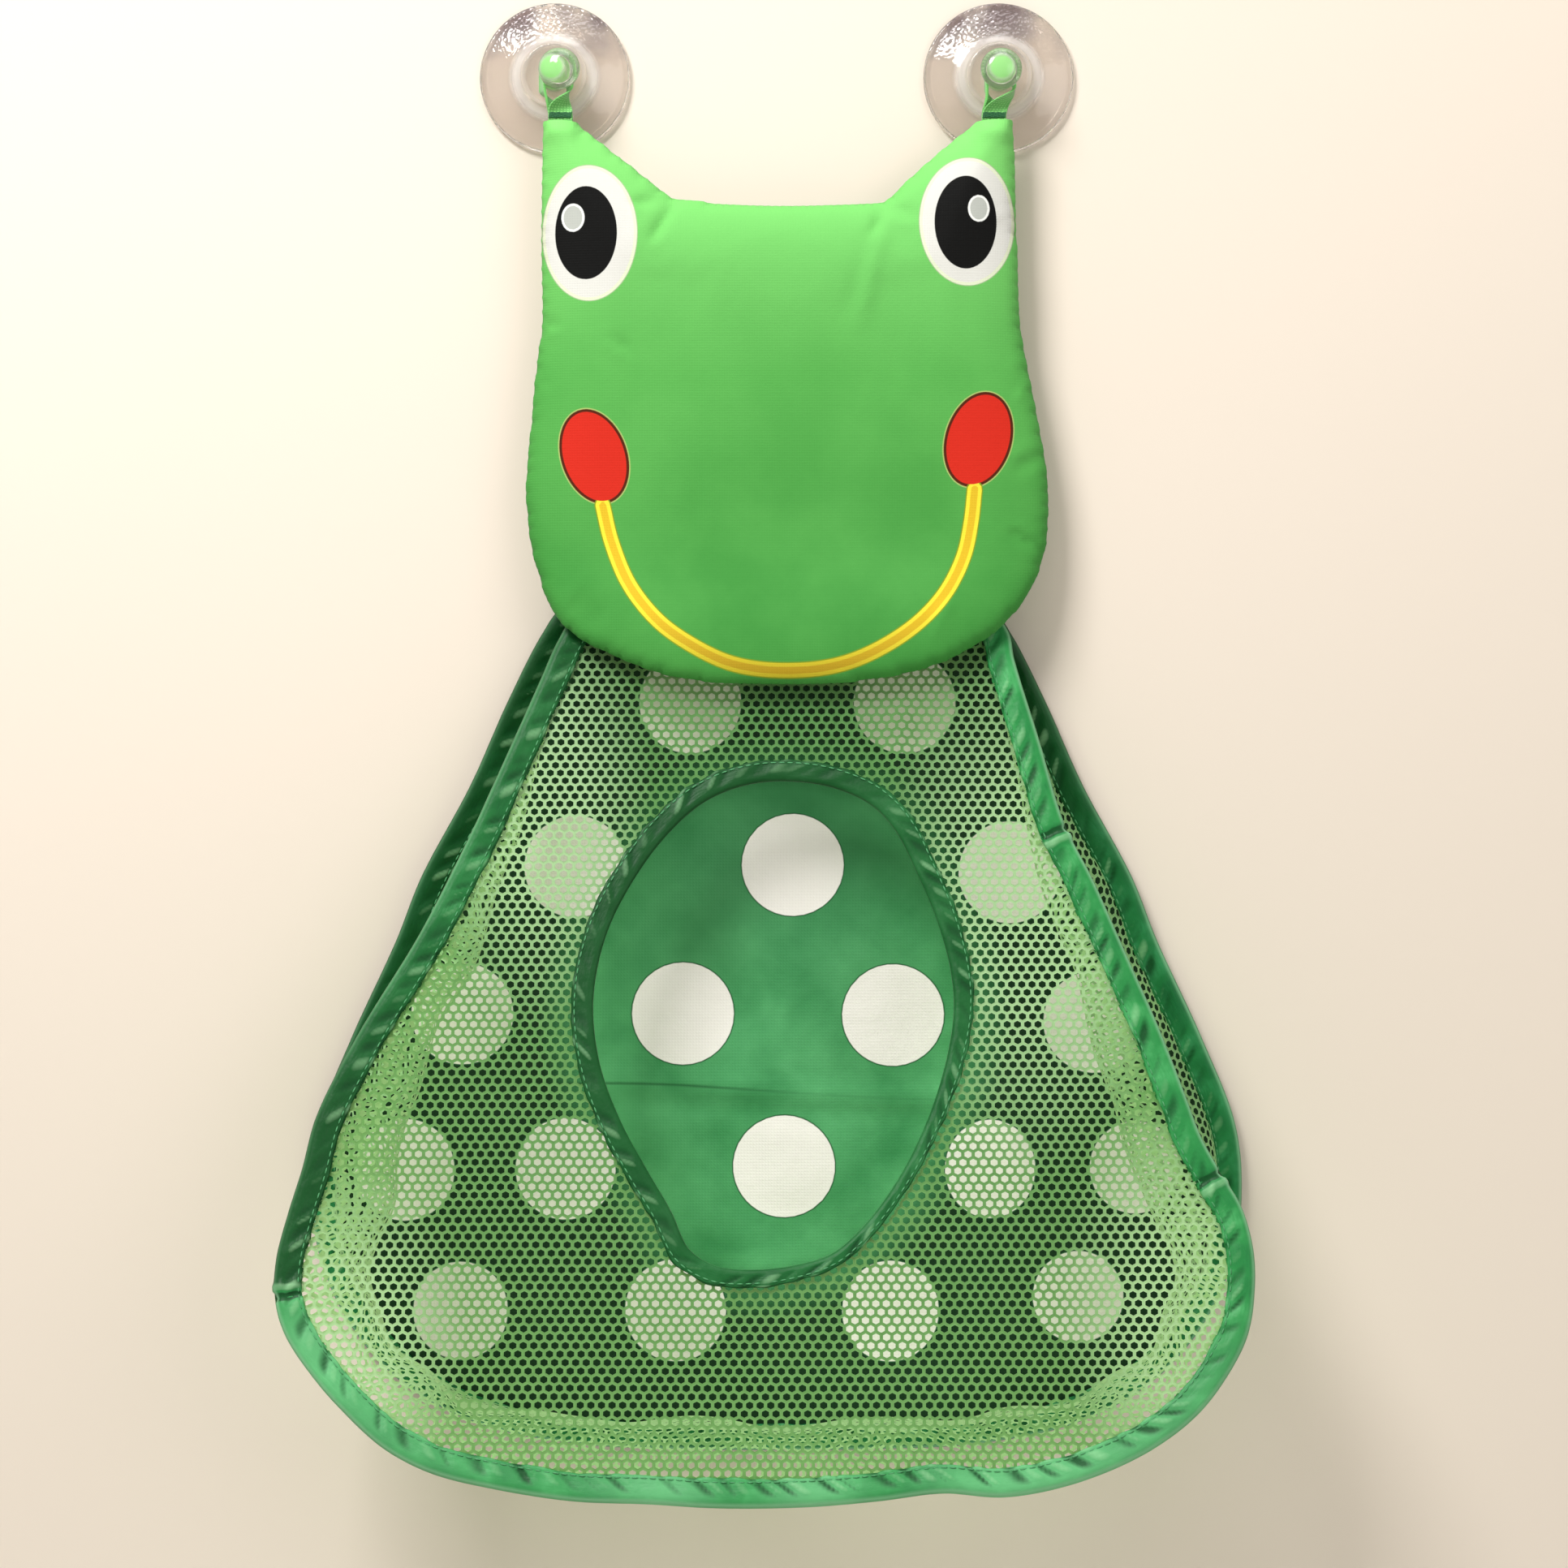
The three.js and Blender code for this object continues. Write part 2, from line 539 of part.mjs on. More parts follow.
// The wire's two ends stand a little apart inside the ferrule, at the bottom
function wireGeometry(loop, onPlane) {
  const n = loop.length;
  const low = loop.reduce((best, p, i) => (p[1] > loop[best][1] ? i : best), 0);
  const turned = [...loop.slice(low), ...loop.slice(0, low)];
  const normals = outward(turned);
  const rows = [];
  const sides = circle(WIRE_R, 6);
  const row = ([x, d], [nx, nd]) => rows.push(sides.map(([u, v]) => onPlane(x + u * nx, d + u * nd, v)));
  const part = (a, b) => {
    const l = Math.hypot(b[0] - a[0], b[1] - a[1]);
    const t = WIRE_END_GAP / 2 / l;
    return [a[0] + t * (b[0] - a[0]), a[1] + t * (b[1] - a[1])];
  };
  row(part(turned[0], turned[1]), normals[0]);
  for (let i = 1; i < n; i++) row(turned[i], normals[i]);
  row(part(turned[0], turned[n - 1]), normals[0]);
  return solidFromRows(rows, { closedRows: false, caps: sides.map(([u, v]) => new THREE.Vector2(u, v)) });
}

// A crimped sleeve over the wire's ends, bent with the ring
function ferruleGeometry(loop, onPlane) {
  const n = loop.length;
  const low = loop.reduce((best, p, i) => (p[1] > loop[best][1] ? i : best), 0);
  const normals = outward(loop);
  const section = [...circle(FERRULE_R, 10)];
  const hole = circle(WIRE_R + GAP, 10);
  const stepShares = [-1, -0.5, 0, 0.5, 1];
  const place = (share) => {
    const side = share < 0 ? (low + n - 1) % n : (low + 1) % n;
    const [a, b] = [loop[low], loop[side]];
    const t = (Math.abs(share) * FERRULE_L) / 2 / Math.hypot(b[0] - a[0], b[1] - a[1]);
    return [a[0] + t * (b[0] - a[0]), a[1] + t * (b[1] - a[1])];
  };
  const rowsOf = (ring) => stepShares.map((share) => {
    const [x, d] = place(share);
    return ring.map(([u, v]) => onPlane(x + u * normals[low][0], d + u * normals[low][1], v));
  });
  return sheetFromGrids(rowsOf(section), rowsOf(hole), { closed: true });
}

add('back_rim_binding', sweptRing(backLoop, onBack, BINDING_SECTION), '#22783f');
const steel = { metalness: 0.9, roughness: 0.35 };
add('back_hoop_wire', wireGeometry(backLoop, onBack), '#9aa0a6', steel);
add('back_hoop_ferrule', ferruleGeometry(backLoop, onBack), '#c9ccd0', steel);
add('front_rim_binding', sweptRing(frontLoop, onFront, BINDING_SECTION), '#2f9a57');
add('front_hoop_wire', wireGeometry(frontLoop, onFront), '#9aa0a6', steel);
add('front_hoop_ferrule', ferruleGeometry(frontLoop, onFront), '#c9ccd0', steel);

// Back panel

// Cloth held by the back ring: it bellies a little and has one cross fold
const clothEdge = BEAD_R + GAP;
const panelEdge = inset(backLoop, clothEdge);
const panelMiddle = [0, PANEL_MIDDLE_SHARE * BACK_RING_H];
const sag = (x, d) => {
  const across = Math.max(0, 1 - (x / (0.36 * BACK_RING_W)) ** 2);
  const down = Math.max(0, 1 - ((d - panelMiddle[1]) / (0.34 * BACK_RING_H)) ** 2);
  const belly = BELLY_SHARE * BACK_RING_H * across * down;
  const fold = Math.exp(-(((d / BACK_RING_H - FOLD_DROP_SHARE) / FOLD_HALF_SHARE) ** 2));
  return -belly * smooth(across * down * 3) + FOLD_RISE_SHARE * BACK_RING_H * fold * across * down;
};
add('back_panel', slabFromRings(panelEdge, panelMiddle, PANEL_RING_SHARES,
  (x, d) => onBack(x, d, sag(x, d) + CLOTH / 2),
  (x, d) => onBack(x, d, sag(x, d) - CLOTH / 2)), DARK_GREEN);

// Front mesh and its opening

const openingLoop = evenLoop(
  OPENING_SHARES.map(([x, d]) => [x * OPENING_W, OPENING_TOP + d * OPENING_H]), OPENING_STEPS);
const openingHole = inset(openingLoop, -OPENING_TAPE_BULGE - GAP);
const meshEdge = inset(frontLoop, clothEdge);

const inside = ([x, d], loop) => {
  let hit = false;
  for (let i = 0, j = loop.length - 1; i < loop.length; j = i++) {
    const [xi, di] = loop[i];
    const [xj, dj] = loop[j];
    if (di > d !== dj > d && x < ((xj - xi) * (d - di)) / (dj - di) + xi) hit = !hit;
  }
  return hit;
};

// A flat net: six-sided gaps in staggered rows, clear of both tapes
function netGeometry() {
  const flat = ([x, d]) => new THREE.Vector2(x, -d);
  const shape = new THREE.Shape(meshEdge.map(flat).reverse());
  shape.holes.push(new THREE.Path(openingHole.map(flat)));
  const outer = inset(frontLoop, FLANGE_W + NET_MARGIN);
  const inner = inset(openingLoop, -OPENING_TAPE_W - NET_MARGIN);
  const row = (NET_PITCH * Math.sqrt(3)) / 2;
  const hole = (cx, cd) => Array.from({ length: 6 }, (_, i) => {
    const a = (Math.PI / 3) * i + Math.PI / 6;
    return [cx + (NET_HOLE_D / 2) * Math.cos(a), cd + (NET_HOLE_D / 2) * Math.sin(a)];
  });
  const rows = Math.ceil(FRONT_RING_H / row);
  const columns = Math.ceil(FRONT_RING_W / NET_PITCH);
  for (let r = 0; r <= rows; r++) {
    for (let c = -columns; c <= columns; c++) {
      const corners = hole((c + (r % 2) / 2) * NET_PITCH, r * row);
      if (corners.every((p) => inside(p, outer) && !inside(p, inner))) {
        shape.holes.push(new THREE.Path(corners.map(flat)));
      }
    }
  }
  const solid = new THREE.ExtrudeGeometry(shape, { depth: CLOTH, bevelEnabled: false });
  const position = solid.attributes.position;
  const points = [];
  const index = [];
  for (let i = 0; i < position.count; i++) {
    const p = onFront(position.getX(i), -position.getY(i), position.getZ(i) - CLOTH / 2);
    points.push(p.x, p.y, p.z);
    index.push(i);
  }
  return weld(points, index);
}
add('front_mesh_panel', netGeometry(), MESH_GREEN);

// Tape folded over the opening's edge
const OPENING_SECTION = [
  [OPENING_TAPE_W, slot + 0.7 * BINDING_CLOTH],
  [0.32 * OPENING_TAPE_BULGE, OPENING_TAPE_BULGE], [-OPENING_TAPE_BULGE, 0],
  [0.32 * OPENING_TAPE_BULGE, -OPENING_TAPE_BULGE],
  [OPENING_TAPE_W, -slot - 0.7 * BINDING_CLOTH], [OPENING_TAPE_W, -slot],
  [OPENING_TAPE_BULGE, -slot], [OPENING_TAPE_BULGE, slot], [OPENING_TAPE_W, slot],
];
add('opening_binding', sweptRing(openingLoop, onFront, OPENING_SECTION), '#2c9152');

// Mesh side wall

// It runs down one side, along the bottom and up the other, between the rings
const GUSSET_COLUMNS = 48;
const GUSSET_ROWS = 4;
function gussetGrids() {
  const pick = (loop) => {
    const n = loop.length;
    const startAt = loop.reduce((best, p, i) => (
      Math.hypot(p[0], p[1]) < Math.hypot(loop[best][0], loop[best][1]) ? i : best), 0);
    return (share) => {
      const f = ((startAt + share * n) % n + n) % n;
      const [i, t] = [Math.floor(f) % n, f - Math.floor(f)];
      const j = (i + 1) % n;
      return [loop[i][0] + t * (loop[j][0] - loop[i][0]), loop[i][1] + t * (loop[j][1] - loop[i][1])];
    };
  };
  const land = 0.7 * BEAD_R;
  const backAt = pick(inset(backLoop, land));
  const frontAt = pick(inset(frontLoop, land));
  const off = BEAD_R + GAP;
  const middle = new THREE.Vector3(0, 0, RING_TOP - panelMiddle[1]);
  const grid = [];
  for (let r = 0; r < GUSSET_ROWS; r++) {
    const t = r / (GUSSET_ROWS - 1);
    const line = [];
    for (let c = 0; c <= GUSSET_COLUMNS; c++) {
      const share = GUSSET_START_SHARE + ((1 - 2 * GUSSET_START_SHARE) * c) / GUSSET_COLUMNS;
      const [bx, bd] = backAt(share);
      const [fx, fd] = frontAt(share);
      const b = onBack(bx, bd, off);
      const f = onFront(fx, fd, -off);
      const p = b.clone().lerp(f, t);
      const toMiddle = middle.clone().sub(p).setY(0).normalize();
      p.addScaledVector(toMiddle, 4 * t * (1 - t) * GUSSET_BOW_SHARE * b.distanceTo(f));
      line.push(p);
    }
    grid.push(line);
  }
  const shifted = (sign) => grid.map((line, r) => line.map((p, c) => {
    const along = line[Math.min(c + 1, line.length - 1)].clone().sub(line[Math.max(c - 1, 0)]);
    const across = grid[Math.min(r + 1, GUSSET_ROWS - 1)][c].clone().sub(grid[Math.max(r - 1, 0)][c]);
    return p.clone().addScaledVector(along.cross(across).normalize(), (sign * CLOTH) / 2);
  }));
  return [shifted(1), shifted(-1)];
}
const [gussetOuter, gussetInner] = gussetGrids();
add('gusset_mesh', sheetFromGrids(gussetOuter, gussetInner, { closed: false }), MESH_GREEN);

// Joining strip

// From between the two wires up to the back of the head
function stripGeometry() {
  const low = backWireY - RING_STEP / 2;
  const headBack = (z) => -(backInner(0, z) - HEAD_CLOTH - GAP - STRIP_T / 2);
  const top = RING_TOP + STRIP_RISE;
  const line = [
    [low, RING_TOP - STRIP_DROP], [low, RING_TOP + BEAD_R * 0.6],
    [THREE.MathUtils.lerp(low, headBack(top), 0.35), RING_TOP + BEAD_R + 2 * STRIP_T],
    [headBack(RING_TOP + 0.5 * STRIP_RISE), RING_TOP + 0.5 * STRIP_RISE],
    [headBack(RING_TOP + 0.75 * STRIP_RISE), RING_TOP + 0.75 * STRIP_RISE],
    [headBack(top), top],
  ];
  const side = (sign) => line.map(([y, z], i) => {
    const [y0, z0] = line[Math.max(i - 1, 0)];
    const [y1, z1] = line[Math.min(i + 1, line.length - 1)];
    const l = Math.hypot(y1 - y0, z1 - z0);
    return [y + (sign * STRIP_T * (z1 - z0)) / 2 / l, z - (sign * STRIP_T * (y1 - y0)) / 2 / l];
  });
  const acrossShares = [-0.5, -0.25, 0, 0.25, 0.5];
  const grid = (edge) => edge.map(([y, z]) => (
    acrossShares.map((share) => new THREE.Vector3(share * STRIP_W, y, z))));
  return sheetFromGrids(grid(side(1)), grid(side(-1)), { closed: false });
}
add('joining_strip', stripGeometry(), '#2a8a4b');

export default group;
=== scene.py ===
# %% [markdown]
# # A frog-headed bath toy organizer
# The real thing is a soft bag of green net between two spring hoops. A padded frog's head closes its
# top, and two clear suction cups hold it on a bathroom wall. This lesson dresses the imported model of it:
# the cups, hoops and hinges are already there as solids, and each soft piece gets its true surface here.
# Everything is in metres, with +Z up, the front towards -Y and the wall at y = 0.

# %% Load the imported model
import math
import random

import bmesh
import bpy
import numpy as np
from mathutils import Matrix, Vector
from mathutils.geometry import delaunay_2d_cdt


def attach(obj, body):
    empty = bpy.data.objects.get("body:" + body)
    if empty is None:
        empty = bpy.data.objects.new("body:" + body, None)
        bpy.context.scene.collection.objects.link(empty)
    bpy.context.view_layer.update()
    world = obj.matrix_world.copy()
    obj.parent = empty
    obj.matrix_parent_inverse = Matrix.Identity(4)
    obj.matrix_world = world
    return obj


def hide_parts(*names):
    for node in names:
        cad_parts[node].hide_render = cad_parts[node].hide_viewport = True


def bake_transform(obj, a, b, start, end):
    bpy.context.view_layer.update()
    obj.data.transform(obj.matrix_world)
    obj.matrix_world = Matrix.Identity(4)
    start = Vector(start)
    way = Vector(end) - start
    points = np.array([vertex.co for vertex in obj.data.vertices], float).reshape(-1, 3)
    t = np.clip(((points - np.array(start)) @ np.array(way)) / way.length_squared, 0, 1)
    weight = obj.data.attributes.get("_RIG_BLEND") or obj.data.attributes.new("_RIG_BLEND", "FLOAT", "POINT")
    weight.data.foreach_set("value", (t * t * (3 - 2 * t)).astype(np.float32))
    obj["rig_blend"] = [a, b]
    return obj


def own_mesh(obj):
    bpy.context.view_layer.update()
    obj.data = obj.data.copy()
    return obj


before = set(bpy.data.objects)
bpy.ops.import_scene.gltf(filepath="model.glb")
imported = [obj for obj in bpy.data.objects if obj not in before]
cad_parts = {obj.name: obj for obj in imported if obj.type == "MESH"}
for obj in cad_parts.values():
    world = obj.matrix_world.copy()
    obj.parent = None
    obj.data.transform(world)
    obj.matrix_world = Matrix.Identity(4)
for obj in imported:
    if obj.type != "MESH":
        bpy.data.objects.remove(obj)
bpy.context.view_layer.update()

# %% [markdown]
# ## Sizes
# The pieces are made to the same sizes as the solids. They are written in millimetres, as a maker would
# give them, and `mm` turns them into Blender's metres.

# %% Sizes of the solids
GAP = 0.3
CUP_SPACING, CUP_D, CUP_LIP, CUP_HOLLOW, CUP_SEAL = 162.5, 55.0, 1.2, 1.1, 3.6
HUB_D, HUB_H, NECK_D, NECK_L, KNOB_D, KNOB_H = 24.0, 8.0, 8.4, 9.8, 15.0, 4.8
LEFT_KNOB_LEAN = 3.6
TAPE_W, TAPE_T, LOOP_TAIL, LOOP_LEGS_APART = 8.8, 1.0, 12.0, 1.9
HEAD_W, HEAD_H, HEAD_TOP, HEAD_DEPTH = 190.5, 205.4, -18.0, 14.0
FRONT_CROWN, BACK_CROWN, CROWN_REACH = 8.0, 2.5, 30.0
MOUTH_FRONT, MOUTH_BACK = 5.2, 2.0
EAR_DEPTH = HEAD_DEPTH + 0.35 * (MOUTH_FRONT - MOUTH_BACK)  # the middle of an ear's open tip
HEAD_CLOTH, CHIN_CLEARANCE, LEAN_ROUNDING = 0.6, 1.2, 2.0
BEAD_R, RING_TOP = 2.65, -186.0
BACK_RING_DEPTH, RING_STEP = 3.3, 6.9
BACK_RING_W, BACK_RING_H, FRONT_RING_W = 335.0, 313.5, 331.0
FRONT_TILT = math.radians(16.5)
FRONT_RING_H = BACK_RING_H / math.cos(FRONT_TILT)
OPENING_W, OPENING_H, OPENING_TOP = 129.0, 178.0, 73.5
STRIP_W, STRIP_RISE, STRIP_DROP = 96.0, 26.0, 9.0


def mm(value):
    return value / 1000


print("the bag hangs from z =", mm(RING_TOP), "m")

# %% Outlines, in shares of the sizes above
HEAD_SHARES = [
    (-0.447, 0.003, 1), (-0.411, 0.003, 1), (-0.375, 0.005, 1), (-0.288, 0.068, 0),
    (-0.197, 0.135, 1), (-0.100, 0.143, 0), (0.005, 0.147, 0), (0.105, 0.145, 0),
    (0.205, 0.140, 1), (0.298, 0.061, 0), (0.375, 0.004, 1), (0.413, 0.002, 1),
    (0.452, 0.000, 1), (0.456, 0.047, 0), (0.461, 0.218, 0), (0.468, 0.362, 0),
    (0.500, 0.522, 0), (0.517, 0.618, 0), (0.520, 0.719, 0), (0.507, 0.784, 0),
    (0.465, 0.859, 0), (0.411, 0.911, 0), (0.307, 0.965, 0), (0.168, 0.994, 0),
    (-0.038, 1.000, 0), (-0.176, 0.991, 0), (-0.279, 0.962, 0), (-0.410, 0.891, 0),
    (-0.464, 0.776, 0), (-0.480, 0.648, 0), (-0.470, 0.533, 0), (-0.461, 0.433, 0),
    (-0.450, 0.362, 0), (-0.452, 0.219, 0), (-0.449, 0.047, 0),
]
BACK_SHARES = [
    (0.125, 0.000), (0.182, 0.008), (0.228, 0.030), (0.250, 0.062), (0.287, 0.140),
    (0.327, 0.236), (0.381, 0.344), (0.408, 0.417), (0.457, 0.531), (0.493, 0.630),
    (0.500, 0.703), (0.491, 0.782), (0.457, 0.861), (0.402, 0.925), (0.322, 0.970),
    (0.216, 0.993), (0.102, 0.999),
]
FRONT_SHARES = [
    (0.115, 0.000), (0.170, 0.008), (0.220, 0.028), (0.246, 0.058), (0.252, 0.090),
    (0.278, 0.186), (0.303, 0.280), (0.332, 0.343), (0.365, 0.425),
    (0.397, 0.505), (0.425, 0.585), (0.438, 0.624), (0.460, 0.668), (0.478, 0.700),
    (0.488, 0.740), (0.489, 0.778),
    (0.480, 0.830), (0.455, 0.876), (0.425, 0.912), (0.382, 0.944), (0.330, 0.969),
    (0.278, 0.985), (0.230, 0.992), (0.170, 0.988), (0.103, 0.996), (0.030, 1.002),
    (-0.060, 1.003), (-0.130, 0.999), (-0.206, 0.996), (-0.285, 0.984), (-0.350, 0.968),
    (-0.397, 0.944), (-0.440, 0.906), (-0.474, 0.868), (-0.501, 0.828), (-0.512, 0.792),
    (-0.512, 0.755), (-0.502, 0.708), (-0.489, 0.660), (-0.476, 0.603), (-0.436, 0.516),
    (-0.374, 0.405), (-0.322, 0.292), (-0.298, 0.234), (-0.252, 0.120), (-0.232, 0.070),
    (-0.208, 0.030), (-0.163, 0.008), (-0.112, 0.000),
]
OPENING_SHARES = [
    (0.015, 0.000), (0.150, 0.012), (0.265, 0.050), (0.335, 0.105), (0.395, 0.195),
    (0.450, 0.295), (0.486, 0.400), (0.492, 0.485), (0.463, 0.600), (0.405, 0.720),
    (0.325, 0.830), (0.235, 0.915), (0.155, 0.965), (0.060, 0.988), (-0.060, 0.998),
    (-0.165, 0.990), (-0.240, 0.955), (-0.290, 0.880), (-0.355, 0.800), (-0.430, 0.700),
    (-0.488, 0.585), (-0.508, 0.460), (-0.478, 0.330), (-0.410, 0.220), (-0.310, 0.115),
    (-0.205, 0.045), (-0.095, 0.010),
]

# %% [markdown]
# ## Curves and planes
# A sewn outline is a smooth curve through a few points, so one helper runs a Catmull-Rom curve through
# them and steps along it evenly. The back hoop lies on a plane parallel to the wall. The front hoop's
# plane tilts out from the top, which makes the bag a wedge.

# %% Smooth outlines and the hoops' planes
def through(points, step, closed=True):
    """Even steps of about that length along a smooth curve through the points."""
    p = np.array(points, float)
    n = len(p)
    run = []
    for i in range(n if closed else n - 1):
        a, b, c, d = (p[(i + k) % n] for k in (-1, 0, 1, 2))
        if not closed and i == 0:
            a = 2 * b - c
        if not closed and i == n - 2:
            d = 2 * c - b
        t0, t1, t2 = (max(np.linalg.norm(v) ** 0.5, 1e-6) for v in (b - a, c - b, d - c))
        m1 = ((b - a) / t0 - (c - a) / (t0 + t1) + (c - b) / t1) * t1
        m2 = ((c - b) / t1 - (d - b) / (t1 + t2) + (d - c) / t2) * t1
        t = np.linspace(0, 1, 40, endpoint=False)[:, None]
        run.append(b + m1 * t + (3 * (c - b) - 2 * m1 - m2) * t**2 + (2 * (b - c) + m1 + m2) * t**3)
    run = np.vstack(run + [p[:1] if closed else p[-1:]])
    along = np.concatenate([[0], np.cumsum(np.linalg.norm(np.diff(run, axis=0), axis=1))])
    count = max(4, round(along[-1] / step))
    at = np.linspace(0, along[-1], count + 1)
    even = np.stack([np.interp(at, along, run[:, k]) for k in range(run.shape[1])], axis=1)
    return even[:-1] if closed else even


def outward(loop):
    """The direction straight out of a closed outline, at each of its points."""
    ahead, behind = np.roll(loop, -1, axis=0), np.roll(loop, 1, axis=0)
    area = np.sum(loop[:, 0] * ahead[:, 1] - ahead[:, 0] * loop[:, 1])
    way = ahead - behind
    way /= np.linalg.norm(way, axis=1)[:, None]
    return np.sign(area) * np.stack([way[:, 1], -way[:, 0]], axis=1)


def on_back(x, drop, out):
    """Metres, from millimetres across, down from the hoop's top and out of the back hoop's plane."""
    return np.stack([x + 0 * drop, -BACK_RING_DEPTH - out + 0 * x, RING_TOP - drop + 0 * x], axis=-1) / 1000


def on_front(x, drop, out):
    """The same on the front hoop's tilted plane."""
    y = -BACK_RING_DEPTH - RING_STEP - drop * math.sin(FRONT_TILT) - out * math.cos(FRONT_TILT)
    z = RING_TOP - drop * math.cos(FRONT_TILT) + out * math.sin(FRONT_TILT)
    return np.stack([x + 0 * y, y, z], axis=-1) / 1000


def smooth(t):
    """0 below 0, 1 above 1 and a soft rise between."""
    t = np.clip(t, 0, 1)
    return t * t * (3 - 2 * t)


def within(points, ring):
    """Which points lie inside a closed outline."""
    found = np.zeros(len(points), bool)
    for (x0, d0), (x1, d1) in zip(ring, np.roll(ring, -1, axis=0)):
        if d0 != d1:
            cross = (d0 > points[:, 1]) != (d1 > points[:, 1])
            found ^= cross & (points[:, 0] < (x1 - x0) * (points[:, 1] - d0) / (d1 - d0) + x0)
    return found


half = [(x * BACK_RING_W, d * BACK_RING_H) for x, d in BACK_SHARES]
back_points = [(0, 0), *half, (0, BACK_RING_H), *[(-x, d) for x, d in reversed(half)]]
front_points = [(x * FRONT_RING_W, d * FRONT_RING_H) for x, d in FRONT_SHARES]
opening_points = [(x * OPENING_W, OPENING_TOP + d * OPENING_H) for x, d in OPENING_SHARES]
back_loop, front_loop = through(back_points, 1.4), through(front_points, 1.4)
opening_loop = through(opening_points, 1.2)
print("hoop steps:", len(back_loop), len(front_loop), "mouth steps:", len(opening_loop))

# %% [markdown]
# ## Turning points into meshes
# Most pieces here are sheets or tapes, which are rows of points. These helpers join the rows into quads
# and lay a UV map in real metres over them, so that a weave drawn on it keeps its true scale.

# %% Mesh helpers
def placed(name, data):
    made = bpy.data.objects.new(name, data)
    bpy.context.scene.collection.objects.link(made)
    return made


def piece_from(name, points, faces, corner_uv=None):
    mesh = bpy.data.meshes.new(name)
    mesh.from_pydata([tuple(p) for p in np.asarray(points, float)], [], faces)
    if corner_uv is not None:
        layer = mesh.uv_layers.new(name="cloth")
        layer.data.foreach_set("uv", np.asarray(corner_uv, np.float32).ravel())
    mesh.validate()
    mesh.shade_smooth()
    return placed(name, mesh)


def face_out(piece):
    """Turns a closed piece's faces outward."""
    bm = bmesh.new()
    bm.from_mesh(piece.data)
    bmesh.ops.recalc_face_normals(bm, faces=bm.faces)
    bm.to_mesh(piece.data)
    bm.free()
    return piece


def rows_to_piece(name, grid, along, across, ring=False, tube=False):
    """grid is rows x columns x 3; ring joins the last row to the first, tube the last column to the first."""
    grid = np.asarray(grid, float)
    rows, columns = grid.shape[:2]
    along, across = np.asarray(along, float), np.asarray(across, float)
    faces, uv = [], []
    for r in range(rows if ring else rows - 1):
        for c in range(columns if tube else columns - 1):
            r2, c2 = (r + 1) % rows, (c + 1) % columns
            faces.append((r * columns + c, r * columns + c2, r2 * columns + c2, r2 * columns + c))
            uv += [(across[c], along[r]), (across[c + 1], along[r]),
                   (across[c + 1], along[r + 1]), (across[c], along[r + 1])]
    return piece_from(name, grid.reshape(-1, 3), faces, uv)


def lengths(points, closed=True):
    """How far along a path each of its points lies."""
    p = np.asarray(points, float)
    ahead, here = (np.roll(p, -1, axis=0), p) if closed else (p[1:], p[:-1])
    return np.concatenate([[0], np.cumsum(np.linalg.norm(ahead - here, axis=1))])


def store(piece, name, values):
    attribute = piece.data.attributes.new(name, "FLOAT", "POINT")
    attribute.data.foreach_set("value", np.asarray(values, np.float32))


def triangles(piece):
    return sum(len(f.vertices) - 2 for f in piece.data.polygons)


# %% [markdown]
# ## Adding shader nodes
# A material is a small network. `add` puts in one node with its settings, and `feed` gives a node its
# inputs: a number or a colour is set, a socket is linked, and another node is linked by its first output.
# `linear` turns the hex colour of a real dye into Blender's linear values.

# %% Node helpers and colours
def feed(tree, node, inputs):
    for key, value in inputs.items():
        if isinstance(value, bpy.types.Node):
            value = value.outputs[0]
        if isinstance(value, bpy.types.NodeSocket):
            tree.links.new(value, node.inputs[key])
        else:
            node.inputs[key].default_value = value
    return node


def add(tree, kind, inputs=(), **settings):
    made = tree.nodes.new(kind)
    for name, value in settings.items():
        setattr(made, name, value)
    return feed(tree, made, dict(inputs))


def linear(hex_colour):
    values = [int(hex_colour[i:i + 2], 16) / 255 for i in (1, 3, 5)]
    return (*[v / 12.92 if v <= 0.04045 else ((v + 0.055) / 1.055) ** 2.4 for v in values], 1.0)


def blank_material(name):
    material = bpy.data.materials.new(name)
    material.use_nodes = True
    tree = material.node_tree
    tree.nodes.clear()
    shader = add(tree, "ShaderNodeBsdfPrincipled")
    output = add(tree, "ShaderNodeOutputMaterial", {"Surface": shader})
    return material, tree, shader, output


def band(period):
    """A wave texture's scale for ridges that come every period metres."""
    return 0.314 / period


def weave_bump(tree, where, thread, depth, fibre):
    """Over-and-under threads on cloth that hangs, with a little fibre noise."""
    turned = add(tree, "ShaderNodeMapping", {"Vector": where, "Rotation": (math.pi / 2, 0, 0)})
    warp, weft = (add(tree, "ShaderNodeTexWave", {
        "Vector": turned, "Scale": band(thread), "Distortion": 0.6, "Detail": 1.0},
        bands_direction=way).outputs["Fac"] for way in "XY")
    both = add(tree, "ShaderNodeMath", {0: warp, 1: weft}, operation="MULTIPLY")
    threads = add(tree, "ShaderNodeBump", {"Height": both, "Strength": 0.35, "Distance": depth})
    fluff = add(tree, "ShaderNodeTexNoise", {"Vector": turned, "Scale": fibre, "Detail": 3.0})
    return add(tree, "ShaderNodeBump", {"Height": fluff, "Strength": 0.25, "Distance": depth * 1.5,
                                        "Normal": threads})


# %% [markdown]
# ## Camera, wall and light
# The product hangs flat against a wall and is seen straight on from about 1.3 m, so the camera stands
# there and looks along +Y. The wall and floor are plain and pale. The wall is only seen from its front,
# so a look from behind still shows the bag's back.

